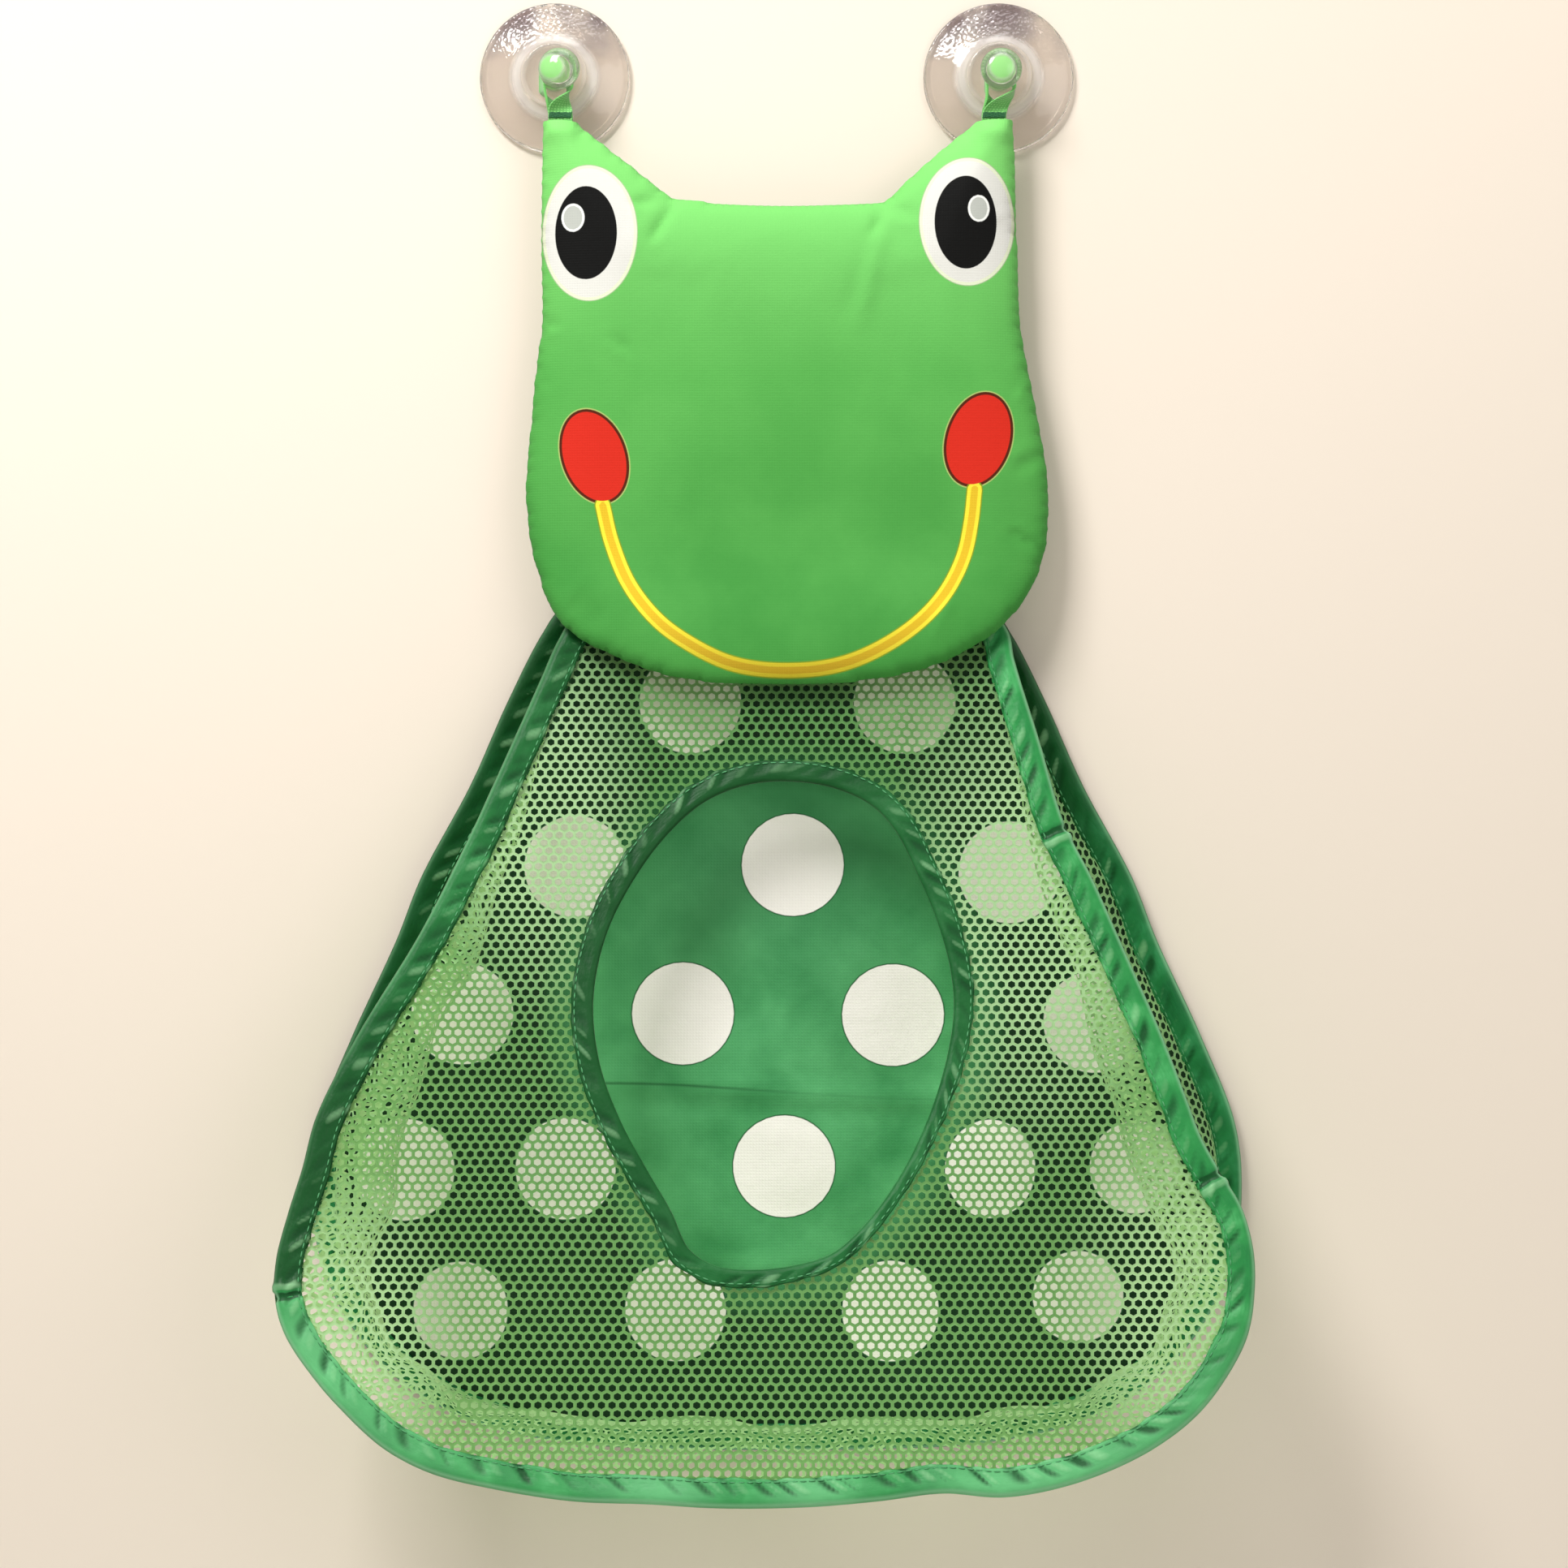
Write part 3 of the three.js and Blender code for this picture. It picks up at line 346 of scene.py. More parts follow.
# %% Camera at the photograph's place
CAMERA_AT = (0.0027, -1.3, -0.2586)
SENSOR, CAMERA_AWAY, SEEN_WIDTH = 36.0, 1300, 575  # in millimetres; the last is the wall in the picture
camera_data = bpy.data.cameras.new("photo_camera")
camera_data.sensor_width = SENSOR
camera_data.lens = SENSOR * CAMERA_AWAY / SEEN_WIDTH
camera = placed("photo_camera", camera_data)
camera.location = CAMERA_AT
camera.rotation_euler = (math.pi / 2, 0, 0)
bpy.context.scene.camera = camera
print("lens", round(camera_data.lens, 1), "mm")

# %% Wall and floor
WALL_Y, FLOOR_Z = 0.0015, -0.9  # the wall stands a little behind the cups' faces
wall_material, tree, shader, output = blank_material("matt painted wall")
feed(tree, shader, {"Base Color": linear("#efe2d2"), "Roughness": 0.9})
see_through = add(tree, "ShaderNodeBsdfTransparent").outputs[0]
behind = add(tree, "ShaderNodeNewGeometry").outputs["Backfacing"]
one_sided = add(tree, "ShaderNodeMixShader", {0: behind, 1: shader.outputs[0], 2: see_through})
feed(tree, output, {"Surface": one_sided.outputs[0]})
wall = piece_from("wall", [(-3, WALL_Y, FLOOR_Z), (3, WALL_Y, FLOOR_Z), (3, WALL_Y, 2.5), (-3, WALL_Y, 2.5)],
                  [(0, 1, 2, 3)])
wall.data.materials.append(wall_material)
wall.visible_diffuse = wall.visible_shadow = False

floor_material, tree, shader, _ = blank_material("pale matt floor")
feed(tree, shader, {"Base Color": linear("#ece8e2"), "Roughness": 0.9})
floor = piece_from("floor", [(-6, -6, FLOOR_Z), (6, -6, FLOOR_Z), (6, 6, FLOOR_Z), (-6, 6, FLOOR_Z)],
                   [(0, 1, 2, 3)])
floor.data.materials.append(floor_material)

# %% Soft studio light from the upper left
def softbox(name, at, look_at, size, watts):
    lamp = bpy.data.lights.new(name, "AREA")
    lamp.shape, lamp.size, lamp.energy = "SQUARE", size, watts
    lit = placed(name, lamp)
    lit.location = at
    lit.rotation_euler = (Vector(look_at) - Vector(at)).to_track_quat("-Z", "Y").to_euler()


softbox("key_light", (-0.5, -0.8, 0.65), (0, 0, -0.3), 0.45, 15)
softbox("fill_light", (1.2, -1.7, 0.1), (0, 0, -0.35), 1.2, 7)
softbox("top_light", (0.1, -0.45, 1.2), (0, 0, -0.2), 0.8, 7)
world = bpy.data.worlds.new("pale room")
bpy.context.scene.world = world
world.use_nodes = True
tree = world.node_tree
tree.nodes.clear()
rays = add(tree, "ShaderNodeLightPath").outputs
seen = add(tree, "ShaderNodeMath", {0: rays["Is Camera Ray"], 1: rays["Is Transmission Ray"]},
           operation="MAXIMUM")
seen = add(tree, "ShaderNodeMath", {0: seen, 1: rays["Is Glossy Ray"]}, operation="MAXIMUM")
room, paper = (add(tree, "ShaderNodeBackground", {"Color": linear("#f2efea"), "Strength": strength}).outputs[0]
               for strength in (0.30, 0.95))
shown = add(tree, "ShaderNodeMixShader", {0: seen, 1: room, 2: paper}).outputs[0]
add(tree, "ShaderNodeOutputWorld", {"Surface": shown})
bpy.context.scene.view_settings.view_transform = "Standard"

# %% [markdown]
# ## Suction cups
# The cups are moulded in soft, clear PVC: a thin dish with a hub, a neck and a mushroom head that the
# tape loop hooks over. Turning a profile is how the mould itself was made, so the mesh is turned too,
# much finer than the solid. The left knob is pulled a little sideways by its loop.

# %% Plasticised PVC: clear, faintly pink-grey, with soft reflections and small ripples from pressing on
clear_pvc, tree, shader, _ = blank_material("moulded clear PVC")
where = add(tree, "ShaderNodeTexCoord").outputs["Object"]
small = add(tree, "ShaderNodeTexNoise", {"Vector": where, "Scale": 260.0, "Detail": 2.0, "Roughness": 0.45})
patches = add(tree, "ShaderNodeTexNoise", {"Vector": where, "Scale": 55.0, "Detail": 1.0})
ripples = add(tree, "ShaderNodeMath", {0: small, 1: patches}, operation="MULTIPLY")
height = add(tree, "ShaderNodeSeparateXYZ", {0: where}).outputs["Z"]
upper = add(tree, "ShaderNodeMapRange", {"Value": height, "From Min": 0.006, "From Max": 0.020})
loose = add(tree, "ShaderNodeMapRange", {"Value": patches, "From Min": 0.36, "From Max": 0.56})
loose = add(tree, "ShaderNodeMath", {0: upper, 1: loose}, operation="MULTIPLY")
clear = add(tree, "ShaderNodeMix", {0: loose, 6: linear("#fdf7f2"), 7: linear("#a3908f")}, data_type="RGBA")
# The solid clear neck would show the light green tape round it; along its axis, through the middle of the knob, that
# green is painted instead, a painted reflection.
beside = add(tree, "ShaderNodeVectorMath", {0: where}, operation="ABSOLUTE")
beside = add(tree, "ShaderNodeVectorMath", {0: beside, 1: (mm(CUP_SPACING / 2), 0, 0)}, operation="SUBTRACT")
beside = add(tree, "ShaderNodeVectorMath", {0: beside, 1: (1, 0, 1)}, operation="MULTIPLY")
from_axis = add(tree, "ShaderNodeVectorMath", {0: beside}, operation="LENGTH").outputs["Value"]
painted_neck_green = add(tree, "ShaderNodeMapRange", {"Value": from_axis, "From Min": mm(NECK_D / 2 + 1.2),
                                        "From Max": mm(NECK_D / 2 - 0.6)})
clear = add(tree, "ShaderNodeMix", {0: painted_neck_green, 6: clear.outputs[2], 7: linear("#9fe58a")}, data_type="RGBA")
# The moulding is a little milky in a ring where the hub rises, and under the loose part of the rim.
ring = add(tree, "ShaderNodeMath", {0: from_axis, 1: mm(HUB_D / 2 + 1.5)}, operation="SUBTRACT")
ring = add(tree, "ShaderNodeMath", {0: ring}, operation="ABSOLUTE")
ring = add(tree, "ShaderNodeMapRange", {"Value": ring, "From Min": 0.0035, "From Max": 0.0008, "To Max": 0.45})
milky = add(tree, "ShaderNodeMath", {0: loose, 1: 0.4}, operation="MULTIPLY")
milky = add(tree, "ShaderNodeMath", {0: ring, 1: milky}, operation="MAXIMUM")
# The painted green middle lets less light through too.
milky = add(tree, "ShaderNodeMath", {0: milky, 1: painted_neck_green}, operation="MAXIMUM")
light_through = add(tree, "ShaderNodeMapRange", {"Value": milky, "To Min": 0.94, "To Max": 0.25})
# The bubbles under the loose part of the rim are about a millimetre and a half apart.
bubbles = add(tree, "ShaderNodeTexVoronoi", {"Vector": where, "Scale": 620.0}).outputs["Distance"]
froth = add(tree, "ShaderNodeMath", {0: bubbles, 1: upper}, operation="MULTIPLY")
bump = add(tree, "ShaderNodeBump", {"Height": ripples, "Strength": 0.25, "Distance": 0.0005})
bump = add(tree, "ShaderNodeBump", {"Height": froth, "Strength": 0.45, "Distance": 0.0009, "Normal": bump})
feed(tree, shader, {"Base Color": clear.outputs[2], "Transmission Weight": light_through, "IOR": 1.53,
                    "Roughness": 0.07, "Normal": bump})

# %% Turn the cup's profile
def cup(name, centre_x, lean, steps=96):
    big, hub, neck, knob = CUP_D / 2, HUB_D / 2, NECK_D / 2, KNOB_D / 2
    top = HUB_H + NECK_L
    soft = through([
        (big, 0), (big + 0.02, CUP_LIP * 0.55), (big - 0.5, CUP_LIP * 1.05), (big * 0.93, CUP_LIP * 0.92),
        (big * 0.78, CUP_LIP * 2.1), (big * 0.6, HUB_H * 0.52), (hub * 1.08, HUB_H * 0.74), (hub, HUB_H * 0.9),
        (hub * 0.95, HUB_H), (hub * 0.85, HUB_H - 0.15), (neck * 1.5, HUB_H - 0.1), (neck * 1.1, HUB_H + 0.4),
        (neck, HUB_H + 1.4), (neck, top - 0.8), (neck * 1.08, top - 0.05), (knob * 0.9, top),
        (knob, top + 0.22 * KNOB_H), (knob * 0.93, top + 0.5 * KNOB_H), (knob * 0.62, top + 0.86 * KNOB_H),
        (knob * 0.25, top + KNOB_H)], 0.55, closed=False)
    under = np.array([(big - CUP_SEAL, 0), (big - CUP_SEAL - 2.5, CUP_HOLLOW * 0.45),
                      (big * 0.5, CUP_HOLLOW * 0.95), (2.0, CUP_HOLLOW)])
    profile = np.vstack([under[::-1], soft])
    turn = np.linspace(0, 2 * np.pi, steps, endpoint=False)
    full = HUB_H + NECK_L + KNOB_H
    points = []
    for r, h in profile:
        pull = lean * max(0, (h - HUB_H) / (full - HUB_H))
        points += [(centre_x + pull + r * math.cos(a), -h, r * math.sin(a)) for a in turn]
    points += [(centre_x, -CUP_HOLLOW, 0), (centre_x + lean, -full, 0)]
    faces = []
    for k in range(len(profile) - 1):
        for i in range(steps):
            j = (i + 1) % steps
            faces.append((k * steps + i, k * steps + j, (k + 1) * steps + j, (k + 1) * steps + i))
    last, bottom, tip = (len(profile) - 1) * steps, len(profile) * steps, len(profile) * steps + 1
    for i in range(steps):
        j = (i + 1) % steps
        faces += [(i, bottom, j), (last + i, last + j, tip)]
    made = face_out(piece_from(name, np.array(points) / 1000, faces))
    made.data.materials.append(clear_pvc)
    return made


for side_name, sign, lean in (("left", -1, LEFT_KNOB_LEAN), ("right", 1, 0)):
    made = cup(f"{side_name}_clear_cup", sign * CUP_SPACING / 2, lean)
    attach(made, "suction_cups")
    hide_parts(f"{side_name}_suction_cup")
    print(made.name, triangles(made), "triangles")

# %% [markdown]
# ## The head's shape
# The head is two printed nylon cloths sewn round their edge over a thin wadding. Sewn flat cloth that is
# blown up puckers at its seam, because it can't stretch: no modelling by hand gives those puckers as
# well as the same thing in a simulation. So two flat layers are sewn, filled with a little pressure, and
# then flattened to the thickness of the real pad.

# %% The head's outline and thickness
def head_point(share):
    return share[0] * HEAD_W, HEAD_TOP - share[1] * HEAD_H


def ear_mouth(a, b):
    """Middle and half width of an ear's open tip, between two points of the outline."""
    left, right = head_point(HEAD_SHARES[a])[0], head_point(HEAD_SHARES[b])[0]
    return (left + right) / 2, abs(right - left) / 2


corners = [i for i, s in enumerate(HEAD_SHARES) if s[2]]
head_edge = []
for k, start in enumerate(corners):
    count = (corners[(k + 1) % len(corners)] - start) % len(HEAD_SHARES)
    run = [head_point(HEAD_SHARES[(start + i) % len(HEAD_SHARES)]) for i in range(count + 1)]
    head_edge.append(through(run, 2.6, closed=False)[:-1])
head_edge = np.vstack(head_edge)
ears = [ear_mouth(0, 2), ear_mouth(10, 12)]


def to_edge(x, z):
    """Distance from points to the head's edge, in millimetres."""
    a, b = head_edge, np.roll(head_edge, -1, axis=0)
    d = b - a
    px, pz = x[:, None] - a[None, :, 0], z[:, None] - a[None, :, 1]
    t = np.clip((px * d[:, 0] + pz * d[:, 1]) / (d**2).sum(axis=1), 0, 1)
    return np.hypot(px - t * d[:, 0], pz - t * d[:, 1]).min(axis=1)


def seam_depth(z):
    """How far the head's seam stands off the wall: upright at the top, leaning out over the bag below."""
    stand_off = BEAD_R + CHIN_CLEARANCE + BACK_CROWN + HEAD_CLOTH
    lean = BACK_RING_DEPTH + RING_STEP + (RING_TOP - z) * math.tan(FRONT_TILT) + stand_off - HEAD_DEPTH
    return HEAD_DEPTH + (lean + np.hypot(lean, 2 * LEAN_ROUNDING)) / 2


def mouth(x, z):
    """How open the ears' tips are, 1 at the middle of a tip."""
    total = 0
    for middle, half_width in ears:
        across = np.clip(1 - ((x - middle) / half_width) ** 2, 0, None)
        total = total + np.sqrt(across) * np.exp(-(((HEAD_TOP - z) / (0.5 * LOOP_TAIL)) ** 2))
    return total


print("head edge points:", len(head_edge))

# %% Two layers of cloth, joined at the seam but open at the ears' tips
def head_layers(spacing=3.0):
    xs = np.arange(-100, 101, spacing)
    rows = np.arange(-226, -16, spacing * 0.87)
    inner = np.array([(x + (r % 2) * spacing / 2, z) for r, z in enumerate(rows) for x in xs])
    a = head_edge
    inner = inner[within(inner, a)]
    inner = inner[to_edge(inner[:, 0], inner[:, 1]) > spacing * 0.6]
    flat = [Vector(p) for p in np.vstack([a, inner])]
    edges = [(i, (i + 1) % len(a)) for i in range(len(a))]
    points, _, cells, *_ = delaunay_2d_cdt(flat, edges, [], 1, 1e-4)
    flat = np.array([tuple(p) for p in points])
    n = len(flat)
    seam = to_edge(flat[:, 0], flat[:, 1]) < 1e-3
    tip = np.zeros(n, bool)
    for middle, half_width in ears:
        tip |= seam & (np.abs(flat[:, 0] - middle) < half_width * 0.93) & (flat[:, 1] > HEAD_TOP - 2)
    shared = seam & ~tip
    back_index = np.where(shared, np.arange(n), -1)
    back_index[~shared] = n + np.arange((~shared).sum())
    points = np.vstack([flat, flat[~shared]])
    layer = np.concatenate([np.ones(n), -np.ones((~shared).sum())])
    layer[:n][shared] = 0
    faces = [tuple(c) for c in cells] + [tuple(back_index[list(reversed(c))]) for c in cells]
    return points, layer, faces


flat, layer, faces = head_layers()
print("head cloth points:", len(flat), "faces:", len(faces))

# %% Fill the head with a little pressure
def puffed(flat, layer, faces, frames=22):
    crown = np.clip(to_edge(flat[:, 0], flat[:, 1]) / CROWN_REACH, 0, 1)
    swell = 0.4 + 3.0 * np.sqrt(1 - (1 - crown) ** 2)
    start = np.stack([flat[:, 0], -layer * swell, flat[:, 1]], axis=1) / 1000
    pillow = piece_from("head_pillow", start, faces)
    cloth = pillow.modifiers.new("filling", "CLOTH")
    settings = cloth.settings
    settings.quality, settings.mass = 6, 0.25
    settings.tension_stiffness = settings.compression_stiffness = 30
    settings.shear_stiffness, settings.bending_stiffness = 8, 0.12
    settings.use_pressure, settings.uniform_pressure_force = True, 3.2
    settings.effector_weights.gravity = 0
    cloth.collision_settings.use_collision = False
    scene = bpy.context.scene
    for number in range(1, frames + 1):
        scene.frame_set(number)
    shape = pillow.evaluated_get(bpy.context.evaluated_depsgraph_get()).to_mesh()
    result = np.array([v.co for v in shape.vertices]) * 1000
    pillow.modifiers.remove(cloth)
    scene.frame_set(1)
    return pillow, result


pillow, filled = puffed(flat, layer, faces)
print("filled head, thickness in mm:", round(np.ptp(filled[:, 1]), 1), "width:", round(np.ptp(filled[:, 0]), 1))

# %% [markdown]
# Filling draws a seam inwards, so the blown-up shape can't be used as it is: the real head was cut larger
# to allow for that, and its finished outline is the one that was measured. So the outline and the pad's
# flat top stay as sewn, and the simulation gives what it is good at, the puckers along the seam. They are
# what is left of its height after the broad swelling is smoothed away. Then the creases that can be seen
# on the head go in: at the ears' inner corners, where the cloth turns round a sharp cut, and in from the
# sides. Their ends were read off the photograph.

# %% Keep the sewn outline and take the puckers from the filled cloth
PUCKER = 0.7  # millimetres
CREASE_GAIN = 1.5  # every depth below is taken that much deeper
CREASES = [  # from and to on the head, half width, depth; a ridge has a negative depth
    ((-38.2, -46.3), (-50.6, -48.3), 1.6, 1.5), ((-37.5, -48.3), (-44.7, -61.0), 1.6, 1.5),
    ((-84.9, -38.8), (-80.0, -39.5), 1.3, 0.9), ((-84.5, -46.7), (-81.3, -47.0), 1.1, 0.7),
    ((-84.2, -80.0), (-81.6, -81.9), 1.1, 0.9), ((-85.1, -93.4), (-80.0, -91.7), 1.5, 1.6),
    ((-58.4, -98.3), (-53.8, -102.8), 1.4, 0.7), ((-86.7, -113.6), (-83.3, -114.6), 1.2, 0.7),
    ((-73.0, -194.3), (-64.4, -201.1), 6.0, 0.9), ((38.1, -50.6), (35.5, -59.1), 1.8, 1.6),
    ((38.1, -59.7), (30.9, -89.1), 2.6, -0.6), ((39.4, -49.3), (49.2, -53.2), 1.9, 1.1),
    ((86.8, -36.9), (83.9, -35.6), 1.3, 1.0), ((85.5, -60.4), (80.6, -55.8), 1.4, 0.9),
    ((91.3, -106.7), (87.5, -110.6), 1.4, 1.0), ((91.3, -115.1), (86.6, -119.6), 1.3, -0.6),
    ((95.6, -140.0), (87.5, -144.5), 2.2, 1.0), ((95.6, -174.1), (85.7, -168.5), 1.5, 1.3),
    ((61.7, -194.3), (57.4, -204.6), 2.2, -0.5),
]


def evened(values, faces, rounds=80):
    """Moves each point's value to its neighbours' mean, again and again."""
    links = np.array([(a, b) for f in faces for a, b in zip(f, f[1:] + f[:1])])
    count = np.bincount(links.ravel(), minlength=len(values))
    for _ in range(rounds):
        total = np.bincount(links[:, 0], values[links[:, 1]], len(values))
        values = (total + np.bincount(links[:, 1], values[links[:, 0]], len(values))) / count
    return values


def creased(x, z):
    """Depth of all the creases: each is a groove with a low ridge beside it."""
    depth = np.zeros_like(x)
    for (x0, z0), (x1, z1), width, deep in CREASES:
        long = math.hypot(x1 - x0, z1 - z0)
        t = ((x - x0) * (x1 - x0) + (z - z0) * (z1 - z0)) / long**2
        off = ((x - x0) * (z1 - z0) - (z - z0) * (x1 - x0)) / long
        fade = smooth(t * 4 + 1) * smooth((1.3 - t) * 2)
        across = np.exp(-((off / width) ** 2)) - 0.4 * np.exp(-(((off - 2 * width) / width) ** 2))
        depth += CREASE_GAIN * deep * fade * across
    return depth


def shaped(flat, layer, faces, filled):
    x, z = flat[:, 0], flat[:, 1]
    inside = np.clip(to_edge(x, z) / CROWN_REACH, 0, 1)
    full = np.sqrt(1 - (1 - inside) ** 2)
    front, back = layer > 0, layer < 0
    out = np.where(front, FRONT_CROWN + HEAD_CLOTH, -BACK_CROWN - HEAD_CLOTH) * full * (layer != 0)
    rise = -filled[:, 1]
    pucker = rise - evened(rise, faces)
    near_seam = (to_edge(x, z) < 18) & front
    usual = max(np.percentile(np.abs(pucker[near_seam]), 97), 1e-3)
    pucker = np.clip(pucker / usual, -1.2, 1.2) * PUCKER
    open_tip = mouth(x, z)
    out = out + np.where(front, MOUTH_FRONT, 0) * open_tip - np.where(back, MOUTH_BACK, 0) * open_tip
    out = out + pucker * smooth(inside * 8) * np.where(back, 0.4, 1) - creased(x, z) * front * full
    return x, z, seam_depth(z) + out


x, z, depth = shaped(flat, layer, faces, filled)
bpy.data.objects.remove(pillow)
head = piece_from("stuffed_head", np.stack([x, -depth, z], axis=1) / 1000, faces)
print("head depth in mm:", round(depth.min(), 1), "to", round(depth.max(), 1))

# %% [markdown]
# ## The printed face
# The face is screen-printed before sewing. A print is sharp, follows the cloth and has no thickness, so
# it belongs in the material and not in the mesh. Each ink gets an attribute that holds the distance to
# its edge in millimetres, and the shader cuts it at zero, which stays sharp at any size.

# %% Distances to the edges of the printed shapes
def oval(x, z, centre, width, height, lean=0.0):
    """Millimetres inside an oval's edge; lean turns it in degrees."""
    a = math.radians(lean)
    u = (x - centre[0]) * math.cos(a) + (z - centre[1]) * math.sin(a)
    v = -(x - centre[0]) * math.sin(a) + (z - centre[1]) * math.cos(a)
    r = np.hypot(u / (width / 2), v / (height / 2))
    slope = np.hypot(u / (width / 2) ** 2, v / (height / 2) ** 2) / np.maximum(r, 1e-6)
    return (1 - r) / np.maximum(slope, 1e-6)


def ribbon(x, z, path, width):
    """Millimetres inside a band of that width along a path."""
    line = through(path, 0.8, closed=False)
    near = np.full(len(x), 1e9)
    for k in range(0, len(line), 64):
        some = line[k:k + 64]
        near = np.minimum(near, np.hypot(x[:, None] - some[:, 0], z[:, None] - some[:, 1]).min(axis=1))
    return width / 2 - near


SMILE = [(-62.6, -158.2), (-59.4, -171.4), (-52.9, -186.9), (-42.4, -200.1), (-30.7, -208.6), (-17.5, -215.0),
         (-4.6, -217.6), (12.3, -217.6), (25.5, -215.0), (38.7, -209.1), (51.5, -200.1), (60.9, -189.5),
         (67.3, -176.7), (70.0, -164.7), (71.4, -152.4)]


def inks(x, z):
    both = np.maximum
    return {
        "eye_white": both(oval(x, z, (-67.5, -59.9), 34.5, 48.9), oval(x, z, (68.8, -55.8), 34.5, 46.2)),
        "pupil": both(oval(x, z, (-68.7, -59.9), 22.5, 33.6), oval(x, z, (68.2, -56.1), 22.5, 33.6)),
        "glint": both(oval(x, z, (-73.4, -54.4), 8.5, 10.2), oval(x, z, (72.9, -51.1), 7.9, 9.7)),
        "cheek": both(oval(x, z, (-65.7, -140.6), 23.9, 35.2, 19), oval(x, z, (72.8, -134.5), 24.1, 35.2, -17)),
        "smile": ribbon(x, z, SMILE, 5.2),
    }


def finish_head(head):
    smoother = head.modifiers.new("fine", "SUBSURF")
    smoother.levels = smoother.render_levels = 1
    fine = bpy.data.meshes.new_from_object(head.evaluated_get(bpy.context.evaluated_depsgraph_get()))
    head.modifiers.remove(smoother)
    head.data = fine
    co = np.array([v.co for v in fine.vertices]) * 1000
    front = smooth((-co[:, 1] - seam_depth(co[:, 2]) + 0.2) / 0.4)
    for name, inside in inks(co[:, 0], co[:, 2]).items():
        store(head, name, np.where(front > 0.5, inside, -5))


finish_head(head)
print("head:", triangles(head), "triangles, inks:",
      [a.name for a in head.data.attributes if a.data_type == "FLOAT"])

# %% Printed nylon taffeta: a fine plain weave with a soft sheen, painted lighter towards the top and darker towards the chin as light falls from above, with paler patches at random
printed_nylon, tree, shader, _ = blank_material("printed nylon taffeta")
where = add(tree, "ShaderNodeTexCoord").outputs["Object"]
height = add(tree, "ShaderNodeSeparateXYZ", {0: where}).outputs["Z"]
# Painted light: the green is painted lighter towards the top of the head and darker towards the chin.
up = add(tree, "ShaderNodeMapRange", {"Value": height, "From Min": -0.20, "From Max": -0.02})
painted_height_light = add(tree, "ShaderNodeValToRGB", {"Fac": up})
painted_height_light.color_ramp.elements[0].color = linear("#3f8f3c")
painted_height_light.color_ramp.elements[1].color = linear("#86db74")
painted_height_light.color_ramp.elements.new(0.5).color = linear("#55a84c")
cloudy = add(tree, "ShaderNodeTexNoise", {"Vector": where, "Scale": 26.0, "Detail": 4.0})
faded = add(tree, "ShaderNodeMapRange", {"Value": cloudy, "From Min": 0.35, "From Max": 0.7, "To Max": 0.22})
colour = add(tree, "ShaderNodeMix", {0: faded, 6: painted_height_light, 7: linear("#78cf69")}, data_type="RGBA").outputs[2]
# The yellow ink is painted darker at the bottom of the smile: painted shade where the pad turns under.
low = add(tree, "ShaderNodeMapRange", {"Value": height, "From Min": -0.196, "From Max": -0.217, "To Max": 0.6})
yellow, amber = (add(tree, "ShaderNodeMix", {0: low, 6: linear(light), 7: linear(dark)},
                     data_type="RGBA").outputs[2]
                 for light, dark in (("#f5e43c", "#a58f1e"), ("#e2bb29", "#94791c")))
# Each ink lies over the ones before it, from so many millimetres inside its shape's edge.
INK_EDGE = 0.12  # half the soft edge of a print
for ink_shape, ink, start in (
        ("cheek", linear("#a9bd6c"), -0.45), ("cheek", linear("#53210c"), 0.0),
        ("smile", linear("#7f9626"), -0.45), ("smile", yellow, 0.0), ("smile", amber, 1.3),
        ("cheek", linear("#d42c1c"), 1.0), ("eye_white", linear("#9fb98a"), -0.3),
        ("eye_white", linear("#dfe6c6"), 0.0), ("eye_white", linear("#dddcd4"), 1.1),
        ("pupil", linear("#030302"), 0.0), ("glint", linear("#f1f2ec"), 0.0), ("glint", linear("#b9bcb4"), 0.8)):
    inside = add(tree, "ShaderNodeAttribute", attribute_name=ink_shape).outputs["Fac"]
    cover = add(tree, "ShaderNodeMapRange", {"Value": inside, "From Min": start - INK_EDGE,
                                             "From Max": start + INK_EDGE})
    colour = add(tree, "ShaderNodeMix", {0: cover, 6: colour, 7: ink}, data_type="RGBA").outputs[2]
# Taffeta has about 30 threads a centimetre, too fine to show, so the threads are drawn 0.9 mm apart.
feed(tree, shader, {"Base Color": colour, "Roughness": 0.66, "Sheen Weight": 0.03, "Sheen Roughness": 0.4,
                    "Specular IOR Level": 0.12, "Normal": weave_bump(tree, where, 0.0009, 0.00016, 900.0)})
head.data.materials.append(printed_nylon)
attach(head, "hung_bag")
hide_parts("head_front_panel", "head_back_panel", "head_padding")

# %% [markdown]
# ## Hanging loops
# Each loop is a flat woven tape. It leaves the open tip of an ear, turns a quarter so that it can lie
# round the cup's neck, and comes back down into the ear. Tape doesn't stretch, so it is drawn as rows of
# a constant section along its path, with a selvedge that is a little thicker than its middle.

# %% Tape loops round the necks
TAPE_FACE = [(-1, -0.6), (-0.97, -1), (-0.86, -1), (-0.8, -0.72), (-0.4, -0.7), (0, -0.72),
             (0.4, -0.7), (0.8, -0.72), (0.86, -1), (0.97, -1), (1, -0.6)]  # in shares of half the sizes
TAPE_SECTION = TAPE_FACE + [(-w, -t) for w, t in TAPE_FACE]
LEG_ROWS, BEND_ROWS = 44, 30


